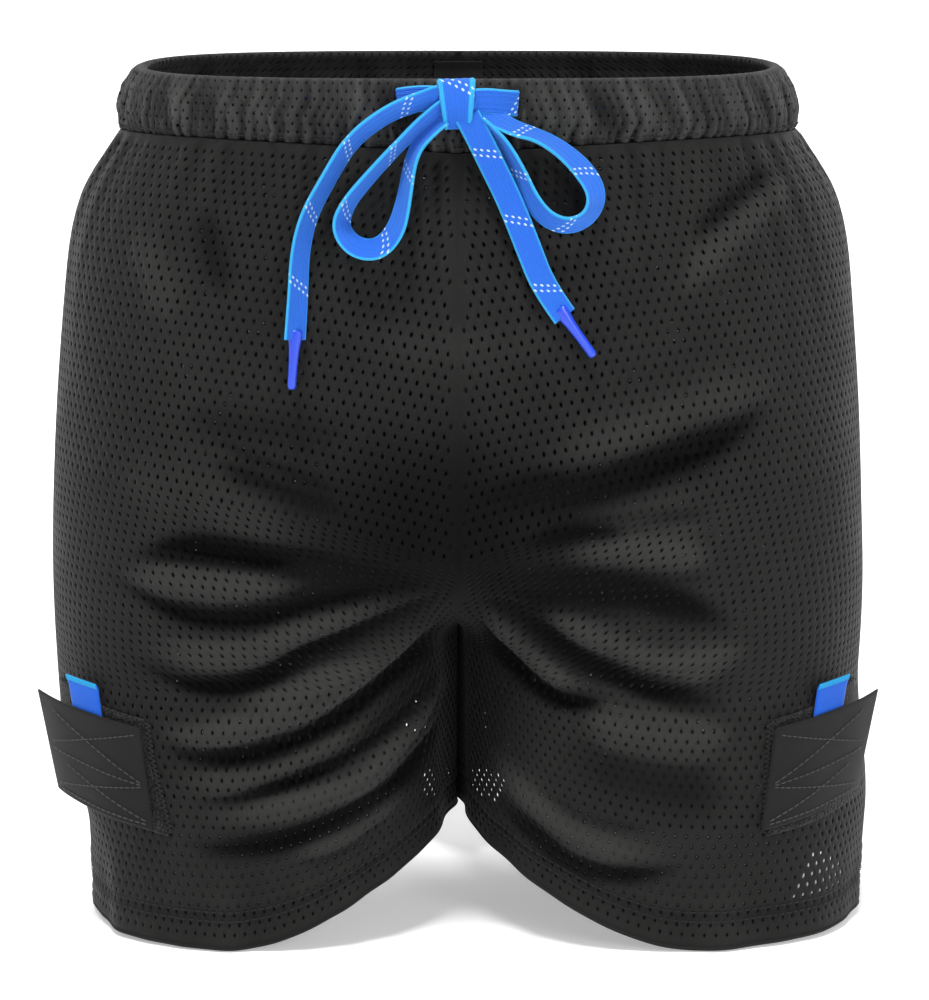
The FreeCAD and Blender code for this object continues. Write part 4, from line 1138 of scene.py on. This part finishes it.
def band_gathers(turn, way):
    """How far the gathered casing stands off: sharp puckers at the seam, broader swells above."""
    girth = turn * 2.35
    span = np.minimum(way, 2 - way)
    near_seam = np.exp(-span / 0.22)
    wander = girth + wavering(way * 30.0 + girth * 0.08, 31, 24.0) * 1.8
    puckers = (wavering(wander, 32, 6.2) + 0.35 * wavering(wander, 34, 3.9)) * (0.5 + 0.75 * near_seam)
    broad = wavering(girth + way * 9.0, 33, 27.0) * 0.9 * np.sin(math.pi * span)
    lift = (puckers + broad) * np.where(way > 1.05, 0.55, 1.0)
    return lift - 0.9 * np.exp(-(span / 0.03) ** 2)


def waistband():
    flat = Flat(lambda a, b: casing_point(a, b, gathered=False), (-270.0, 90.0), (0.0, 2.0), 0.5)
    # The gathers also set painted shade: the casing's colour is darker in their hollows and paler on their
    # ridges.
    piece = net("waistband_gathered", flat, lambda a, b, out: casing_point(a, b, out), casing_cloth_finish,
                "shorts", margins=(4.0, 3.0), flip=True, size=(0.5, 0.9), pitch=3.9, row=4.0,
                throat=lambda point, way: np.where(np.abs(way - 1.0) < 0.3, 0.12, 0.55),
                relief=lambda a, b: band_gathers(a, b) * 1.6)
    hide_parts("waistband_casing")

    turns = np.linspace(0.0, 360.0, 721)[:-1]
    levels = [(0.05, -4.15), (0.2, -4.15), (0.35, -4.15), (0.52, -4.15), (0.68, -4.15),
              (0.68, -5.5), (0.52, -5.5), (0.35, -5.5), (0.2, -5.5), (0.05, -5.5)]
    rings = []
    for n, (level, out) in enumerate(levels):
        cord = 0.22 * np.sin(np.arange(len(turns)) * math.pi / 2) * (1.0 if n < 5 else -1.0)
        rings.append(lay_band(turns, np.full(len(turns), level), np.full(len(turns), out) + cord))
    measures = [[t * 2.4, level * 28.0 + (40.0 if n > 4 else 0.0)] for n, (level, _) in enumerate(levels)
                for t in turns]
    elastic = make_piece("waistband_elastic_cords", np.concatenate(rings),
                         grid_faces(len(levels), len(turns), closed_rows=True, closed_columns=True).tolist(),
                         elastic_weave, "shorts", measures)
    settle_normals(elastic)
    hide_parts("waistband_elastic")

    hidden_turns = np.linspace(-80.0, 260.0, 500)
    rows = []
    for level, out in ((0.54, -2.2), (0.7, -2.1), (0.85, -2.2), (0.85, -3.6), (0.7, -3.7), (0.54, -3.6)):
        rows.append(lay_band(hidden_turns, np.full(500, level), np.full(500, out)))
    faces = grid_faces(6, 500, closed_rows=True).tolist()
    faces.append([k * 500 for k in range(6)])
    faces.append([k * 500 + 499 for k in range(6)][::-1])
    hidden = make_piece("lace_round_the_waist", np.concatenate(rows), faces, lace_weave, "shorts",
                        [[k * 2.0 - 5.0, t * 2.4] for k in range(6) for t in hidden_turns])
    settle_normals(hidden)
    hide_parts("lace_in_casing")

    seam_turns = np.linspace(0.0, 360.0, 481)[:-1]
    rows = []
    for k in range(8):
        angle = 2 * math.pi * k / 8
        ripple = 0.16 * np.sin(np.arange(480) * math.pi * 0.5 + angle)
        out = -4.6 + 2.1 * math.cos(angle)
        rows.append(lay_band(seam_turns, np.full(480, -0.045 + 0.042 * math.sin(angle)), out + ripple))
    overlock = make_piece("waist_seam_overlocked", np.concatenate(rows),
                          grid_faces(8, 480, closed_rows=True, closed_columns=True).tolist(), thread,
                          "shorts", [[k * 1.0, t * 2.4] for k in range(8) for t in seam_turns])
    settle_normals(overlock)
    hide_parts("waist_seam")


def seam_stitches(name, points, normals, body="shorts", length=2.6, gap=0.9, radius=0.26, scale=MM):
    """A row of lockstitches along points."""
    along = lengths_along(points)
    starts = np.arange(0.0, along[-1] - length, length + gap)
    first = np.stack([np.interp(starts, along, points[:, k]) for k in range(3)], -1)
    last = np.stack([np.interp(starts + length, along, points[:, k]) for k in range(3)], -1)
    lift = np.stack([np.interp(starts, along, normals[:, k]) for k in range(3)], -1)
    piece = capsules(name, first, last, radius, thread, body, scale=scale, lift=lift)
    return piece


def waist_stitching():
    turns = np.linspace(-90.0, 270.0, 900)
    for name, way in (("waist_topstitch", 0.07), ("waist_inner_stitch", 1.93)):
        seam_stitches(name, casing_point(turns, way, 0.3), band_normal(turns, 0.0) * (1 if way < 1 else -1))


def lace_eyelets():
    for side, hand in ((-1, "right"), (1, "left")):
        x = 25.0 * side
        turn = 270.0 + math.degrees(math.asin(x / 150.5))
        centre = casing_point(turn, (1 - 9.5 / 31.0) * 0.9 / 0.93, gathered=False)
        outward = band_normal(turn, 0.5)
        sideways = np.array([-outward[1], outward[0], 0.0])
        upward = np.array([0.0, 0.0, 1.0])
        starts, ends = [], []
        count = 64
        for k in range(count):
            angle = 2 * math.pi * k / count
            c, s = math.cos(angle), math.sin(angle)
            inner = sideways * 1.1 * c + upward * (5.6 * np.sign(s) * abs(s) ** 0.6)
            outer = sideways * 2.9 * c + upward * (7.7 * np.sign(s) * abs(s) ** 0.6)
            starts.append(centre + inner + outward * 0.55)
            ends.append(centre + outer + outward * 0.55)
        eyelet = capsules(hand + "_eyelet_satin_stitch", starts, ends, 0.42, thread, "shorts")
        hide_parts(hand + "_lace_eyelet")


waistband()
waist_stitching()
lace_eyelets()


# ---- seams and hems ----------------------------------------------------------------------------
def overlocked_strip(name, node, edges, side, mirror_too=False):
    """Sewn allowance inside a seam: cut edges bound by overlock stitches that ripple along it."""
    points, faces, measures = [], [], []
    for edge_a, edge_b, downs in edges:
        for hand in ((side, -side) if mirror_too else (side,)):
            profile = [(edge_a, -1.3), ((edge_a + edge_b) / 2, -1.15), (edge_b, -1.3), (edge_b, -2.3),
                       ((edge_a + edge_b) / 2, -2.5), (edge_a, -2.3)]
            first = sum(len(p) for p in points)
            for k, (a, out) in enumerate(profile):
                ripple = 0.14 * np.sin(np.arange(len(downs)) * 1.9 + k)
                points.append(lay_cloth(np.full(len(downs), a), downs, out + ripple, hand))
                measures.append(np.stack([np.full(len(downs), k * 2.0), downs * 350.0], -1))
            count = len(downs)
            faces.extend(grid_faces(6, count, first, closed_rows=True).tolist())
            faces.append([first + k * count for k in range(6)])
            faces.append([first + k * count + count - 1 for k in range(6)][::-1])
    piece = make_piece(name, np.concatenate(points), faces, thread, "shorts", np.concatenate(measures))
    settle_normals(piece)
    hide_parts(node)


def crotch_allowance():
    """Both allowances stand up inside where the middle seam turns under."""
    points, faces, measures = [], [], []
    for sign in (1.0, -1.0):
        downs = np.linspace(fork_start + 0.035, fork_end - 0.008, 70)
        curve = cloth_point(np.full(70, sign), downs)
        along = unit(np.gradient(curve, axis=0))
        inward = np.stack([np.zeros(70), -along[:, 2], along[:, 1]], -1) * sign
        first = sum(len(p) for p in points)
        ring = [(-0.8, 1.6), (-0.95, 4.5), (-0.8, 8.6), (0.8, 8.6), (0.95, 4.5), (0.8, 1.6)]
        for k, (x, height) in enumerate(ring):
            ripple = 0.12 * np.sin(np.arange(70) * 1.9 + k)
            points.append(curve * [0, 1, 1]
                          + np.stack([np.full(70, x) + ripple, np.zeros(70), np.zeros(70)], -1)
                          + inward * (height + 0.9))
            measures.append(np.stack([np.full(70, k * 2.0), np.arange(70) * 1.8], -1))
        faces.extend(grid_faces(6, 70, first, closed_rows=True).tolist())
        faces.append([first + k * 70 for k in range(6)])
        faces.append([first + k * 70 + 69 for k in range(6)][::-1])
    piece = make_piece("crotch_seam_overlocked", np.concatenate(points), faces, thread, "shorts",
                       np.concatenate(measures))
    settle_normals(piece)
    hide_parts("crotch_seam")


allowance = 4.0 / 280.0    # half the seam allowance, as a share of the way round


def all_seams():
    to_hem = np.linspace(0.04, 0.935, 170)
    for side, hand in ((-1, "right"), (1, "left")):
        overlocked_strip(hand + "_side_seam_overlocked", hand + "_side_seam",
                         [(-allowance, allowance, to_hem)], side)
        lower = np.linspace(fork_end + 0.02, 0.935, 60)
        overlocked_strip(hand + "_inseam_overlocked", hand + "_inseam",
                         [(1 - allowance, 0.9995, lower), (-1 + allowance, -0.9995, lower)], side)
    upper = np.linspace(0.04, fork_start, 80)
    overlocked_strip("centre_front_seam_overlocked", "centre_front_seam",
                     [(1 - allowance, 0.9995, upper)], -1, True)
    overlocked_strip("centre_back_seam_overlocked", "centre_back_seam",
                     [(-1 + allowance, -0.9995, upper)], -1, True)
    crotch_allowance()


def leg_hems():
    """Each hem is folded up inside and held by two rows of coverstitch."""
    share = 19.0 / 349.0
    for side, hand in ((-1, "right"), (1, "left")):
        for sign in (1.0, -1.0):
            flat = Flat(lambda a, b: cloth_point(a, b), (0.0, sign), (1 - share, 1.0), 0.45, 81)
            name = hand + ("_front" if sign > 0 else "_back") + "_hem_facing"
            net(name, flat, lambda a, b, out: lay_cloth(a, b, out - 1.1, side), mesh_cloth,
                             "shorts", margins=(4.0, 2.0), shift=0.37, flip=(side * sign < 0))
        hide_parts(hand + "_leg_hem")
        around = np.concatenate([np.linspace(0.02, 0.985, 420), np.linspace(-0.985, -0.02, 420)])
        for name, down, out in (("upper", 1 - share * 0.9, 0.2), ("lower", 1 - share * 0.68, 0.2),
                                ("edge", 0.997, -0.25)):
            line = lay_cloth(around, np.full(len(around), down), np.full(len(around), out), side)
            normal = cloth_normal(around, np.full(len(around), down)) * [-side, 1, 1]
            if name == "edge":
                edge_roll(hand + "_hem_fold", line, normal)
                continue
            half = len(around) // 2
            for label, rows in (("front", slice(0, half)), ("back", slice(half, None))):
                seam_stitches(f"{hand}_{label}_hem_{name}_stitch", line[rows], normal[rows], radius=0.24)


def edge_roll(name, line, normal):
    """Rounded fold at the very bottom of a hem, a closed ring round the leg."""
    tangent = unit(np.roll(line, -1, 0) - np.roll(line, 1, 0))
    across = unit(np.cross(tangent, normal))
    sides = 8
    rings = [line + (normal * math.cos(k * 2 * math.pi / sides) * 0.95
                     + across * math.sin(k * 2 * math.pi / sides) * 0.8) for k in range(sides)]
    points = np.stack(rings, 1).reshape(-1, 3)
    faces = grid_faces(len(line), sides, closed_rows=True, closed_columns=True).tolist()
    measures = [[k * 0.7, n * 0.7] for n in range(len(line)) for k in range(sides)]
    piece = make_piece(name, points, faces, mesh_cloth, "shorts", measures)
    settle_normals(piece)


all_seams()
leg_hems()


# ---- sock tabs ---------------------------------------------------------------------------------
tab_width, tab_height = 58.0, 45.0
half_tab = tab_height / 2
hinge_down = (299.0 - side_drop) / (hem_drop - side_drop)


def tab_arc():
    """Distance round the right leg from the tab's sewn edge, and the place there."""
    low, high = 0.0, 0.6
    for _ in range(50):
        middle = (low + high) / 2
        if -cloth_point(middle, hinge_down)[0] > 133.0:
            low = middle
        else:
            high = middle
    places = np.arange(low + 0.1, -0.25, -0.002)
    points = cloth_point(places, np.full(len(places), hinge_down))
    along = lengths_along(points)
    return along - np.interp(-low, -places, along), places


arc_lengths, arc_places = tab_arc()
lean, edge_tilt = math.radians(8.0), math.radians(5.0)


def tab_point(side, hugging=False):
    """Points over a tab: along from its sewn edge, up from its mid-height, out of the leg."""
    def at(along, up, out):
        arc = along * math.cos(lean) + up * math.sin(edge_tilt)
        rise = along * math.sin(lean) + up * math.cos(edge_tilt)
        around = np.interp(arc, arc_lengths, arc_places)
        down = hinge_down - rise / (hem_drop - side_drop)
        if hugging:
            return lay_cloth(around, down, out, side)
        point = cloth_point(around, down) + cloth_normal(around, down) * np.reshape(out, (-1, 1))
        return point * [-side, 1.0, 1.0]
    return at


def flap_point(side):
    plain = tab_point(side)

    def at(along, up, out):
        share = np.clip(along / tab_width, 0.0, None)
        high = np.clip(up / tab_height + 0.5, 0.0, None)
        bow = 0.35 * np.sin(along * 0.16 + up * 0.05) * share
        return plain(along, up, out + (3.0 + 6.0 * high) * share ** 2 + bow)
    return at


stitch_rows = [((0.05, 0.92), (0.93, 0.52)), ((0.05, 0.43), (0.90, 0.47)), ((0.05, 0.05), (0.90, 0.06)),
               ((0.05, 0.45), (0.84, 0.90)), ((0.05, 0.41), (0.93, 0.10)), ((0.05, 0.08), (0.80, 0.38))]


def tab_stitching(side, body, name):
    flap = flap_point(side)
    starts, ends = [], []
    for (a0, b0), (a1, b1) in stitch_rows:
        start = np.array([a0 * tab_width, (b0 - 0.5) * tab_height])
        end = np.array([a1 * tab_width, (b1 - 0.5) * tab_height])
        length = np.linalg.norm(end - start)
        places = np.arange(0.0, length - 2.2, 2.9)
        for shift, store in ((0.0, starts), (2.2, ends)):
            spot = start + (end - start) * ((places + shift) / length)[:, None]
            store.append(flap(spot[:, 0], spot[:, 1], np.full(len(spot), 4.68)))
    return capsules(name, np.concatenate(starts), np.concatenate(ends), 0.3, tab_thread, body)


def sock_tab(side, hand):
    body = hand + "_tab"
    hugging = tab_point(side, True)
    flap = flap_point(side)
    patch = slab(hand + "_tab_loop_face", hugging, (-0.5, tab_width + 3.0), (-half_tab - 3.0, half_tab + 3.0),
                 (0.12, 1.52), loop_tufts, "shorts", (34, 28), soften=0.5)
    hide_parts(hand + "_tab_loop_patch")
    pad = slab(hand + "_tab_hook_face", flap, (3.5, tab_width - 3.5), (-half_tab + 3.5, half_tab - 6.5),
               (1.9, 3.05), hook_tufts, body, (34, 24), soften=0.4)
    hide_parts(hand + "_tab_hook_pad")
    cover = slab(hand + "_tab_cover", flap, (0.0, tab_width), (-half_tab, half_tab), (3.19, 4.55), tab_cloth,
                 body, (48, 40), soften=0.55)
    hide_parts(hand + "_tab_flap")
    pull = slab(hand + "_tab_pull_loop", flap, (20.0, 36.0), (half_tab - 6.0, half_tab + 13.0), (1.75, 3.1),
                pull_webbing, body, (22, 24), soften=0.7)
    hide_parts(hand + "_tab_pull")
    fold = slab(hand + "_tab_pull_fold", flap, (20.2, 35.8), (half_tab + 11.2, half_tab + 13.5), (1.6, 3.3),
                pull_fold_highlight, body, (22, 8), soften=0.5)
    rows = tab_stitching(side, body, hand + "_tab_zigzag_stitches")
    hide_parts(hand + "_tab_stitching")
    ups = np.linspace(-half_tab - 1.0, half_tab + 1.0, 44)
    starts, ends = [], []
    for k, up in enumerate(ups):
        slant = 0.5 if k % 2 else -0.5
        for store, along, height in ((starts, -3.3, up - slant), (ends, -0.7, up + slant)):
            store.append(hugging(np.array([along]), np.array([height]), np.array([0.75]))[0])
    tack = capsules(hand + "_tab_bar_tack_stitches", starts, ends, 0.52, thread, "shorts")
    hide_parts(hand + "_tab_bar_tack")


# Painted highlight: a paler copy of the pull webbing for its folded top end.
pull_fold_highlight = woven("pull_fold_highlight", (0.003, 0.16, 0.42), (0.02, 0.36, 0.62), 1.6, 0.8, 0.5)
tab_thread = woven("tab_thread", (0.03, 0.03, 0.031), (0.10, 0.10, 0.102), 0.5, 0.35, 0.5)
sock_tab(-1, "right")
sock_tab(1, "left")


# ---- cup pocket, cup and label -----------------------------------------------------------------
def belly(x, z):
    """Outer face of the front cloth over the belly."""
    around, down = np.full(x.shape, 0.5), np.full(x.shape, 0.3)
    step = 1e-3
    for _ in range(7):
        here = cloth_point(around, down)
        by_around = (cloth_point(around + step, down) - here) / step
        by_down = (cloth_point(around, down + step) - here) / step
        miss_x, miss_z = -np.abs(x) - here[..., 0], z - here[..., 2]
        size = by_around[..., 0] * by_down[..., 2] - by_around[..., 2] * by_down[..., 0]
        around = np.clip(around + (miss_x * by_down[..., 2] - miss_z * by_down[..., 0]) / size,
                         0.05, 1 - step)
        down = down + (by_around[..., 0] * miss_z - by_around[..., 2] * miss_x) / size
    return cloth_point(around, down)[..., 1]


def pocket_front(p, q, out):
    x = 64.0 * (1 - 0.35 * q ** 4) * p
    z = -56.0 - 148.0 * q
    return np.stack([x, belly(x, z) + 3.02 - out, z], -1)


def pocket_back(p, q, out):
    near = pocket_front(p, q, -0.92)
    closing = np.sqrt(1 - q ** 10)
    across = (1 - np.abs(p) ** 3) ** (1 / 3)
    sag = (0.8 * np.sin(p * 17.0 + q * 5.0) * (1 - q) * (1 - p * p)
           + 0.7 * np.sin(p * 9.0 - q * 13.0) * q * (1 - q))
    near[..., 1] += (65.0 + sag) * closing * across - out
    return near


def cup_and_pocket():
    front = slab("cup_pocket_front_cloth", pocket_front, (-1.0, 1.0), (0.0, 1.0), (-0.8, 0.0),
                 jersey, "shorts",
                 (60, 60), grain=(64.0, 148.0), soften=0.004)

    def to_the_seam(a, b, out):
        """Closer rows towards the edges, where the back layer bends to the front one."""
        return pocket_back(np.sin(a * math.pi / 2), np.sin(b * math.pi / 2), out)
    back = slab("cup_pocket_back_cloth", to_the_seam, (-0.998, 0.998), (0.0, 0.998), (-0.8, 0.0), jersey,
                "shorts", (110, 80), grain=(90.0, 148.0), soften=0.002)
    for piece, node, flat_size, area in ((front, "cup_pocket_front", (0.13, 0.15), 0.018),
                                         (back, "cup_pocket_back", (0.26, 0.17), 0.034)):
        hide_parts(node)

    def gathered(p, q, out):
        return pocket_back(p, q, out + 0.18 * np.sin(p * 150.0))
    binding = slab("cup_pocket_mouth_binding", gathered, (-0.94, 0.94), (0.0, 8.0 / 148.0), (-2.3, -1.5),
                   elastic_weave, "shorts", (240, 8), grain=(90.0, 148.0), soften=0.003)
    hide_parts("cup_pocket_binding")

    turns = np.linspace(0.0, 2 * math.pi, 120, endpoint=False)
    section = np.linspace(0.0, 2 * math.pi, 20, endpoint=False)
    rings = []
    for k in section:
        wide = 5.0 * np.sign(math.cos(k)) * abs(math.cos(k)) ** 0.7
        thick = 2.4 * np.sign(math.sin(k)) * abs(math.sin(k)) ** 0.8
        groove = 0.35 * math.exp(-(math.cos(k) / 0.25) ** 2) * (1 if math.sin(k) > 0 else 0)
        middle_x, middle_z = 43.0 + wide, 55.0 + wide
        rings.append(np.stack([middle_x * np.cos(turns), np.full(120, -48.3 + thick - groove),
                               -124.0 + middle_z * np.sin(turns)], -1))
    cushion = make_piece("cup_edge_padding", np.concatenate(rings),
                         grid_faces(20, 120, closed_rows=True, closed_columns=True).tolist(),
                          cup_rubber, "cup",
                         [[k * 0.8, t * 50.0] for k in section for t in turns])
    settle_normals(cushion)
    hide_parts("cup_edge_cushion")

    label = slab("size_label_folded", lay_band, (90.0 - 4.55, 90.0 + 4.55), (0.2, 0.82), (-7.8, -7.25),
                 label_cloth, "shorts", (30, 20), grain=(2.6, 27.0), soften=0.01)
    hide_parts("size_label")


cup_and_pocket()


# ---- floor, light and camera -------------------------------------------------------------------
def make_stage():
    """Pale floor that sweeps up into a pale backdrop."""
    z, half = cad_low.z - 0.0006, 20.0
    profile = [(-half, z), (2.6, z)]
    for step in range(1, 13):
        angle = math.pi / 2 * step / 12
        profile.append((2.6 + 0.8 * math.sin(angle), z + 0.8 * (1 - math.cos(angle))))
    profile.append((3.4, 8.0))
    points = [(x, y, height) for y, height in profile for x in (-half, half)]
    mesh = bpy.data.meshes.new("floor")
    mesh.from_pydata(points, [], [(2 * k, 2 * k + 1, 2 * k + 3, 2 * k + 2) for k in range(len(profile) - 1)])
    mesh.polygons.foreach_set("use_smooth", [True] * len(mesh.polygons))
    floor = bpy.data.objects.new("floor", mesh)
    bpy.context.scene.collection.objects.link(floor)
    finish = Finish("pale_floor", Roughness=0.9, Emission_Strength=0.36, Emission_Color=(1.0, 1.0, 1.0, 1.0))
    grain = finish.noise(3.0, 2.0)
    finish.paint(Base_Color=finish.blend(grain, (0.78, 0.78, 0.78), (0.81, 0.81, 0.81)))
    mesh.materials.append(finish.material)


def light_the_room():
    """Even pale surroundings and a broad soft key from above."""
    world = bpy.data.worlds.new("room")
    world.use_nodes = True
    surroundings = world.node_tree.nodes["Background"]
    surroundings.inputs[0].default_value = (1.0, 1.0, 1.0, 1.0)
    surroundings.inputs[1].default_value = 0.45
    bpy.context.scene.world = world
    data = bpy.data.lights.new("broad_key", "SUN")
    data.energy = 3.3
    data.angle = math.radians(18.0)
    key = bpy.data.objects.new("broad_key", data)
    key.rotation_euler = Vector((0.1, 0.32, -1.0)).to_track_quat("-Z", "Y").to_euler()
    bpy.context.scene.collection.objects.link(key)
    bpy.context.scene.view_settings.view_transform = "Standard"


make_stage()
light_the_room()
make_light("softbox_front", (0.9, -1.7, 0.5), (0.0, 0.0, -0.2), 0.7, 10.0)
make_camera()

shell_from_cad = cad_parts["cup_shell"]
shell_from_cad.data.materials.clear()
shell_from_cad.data.materials.append(cup_plastic)
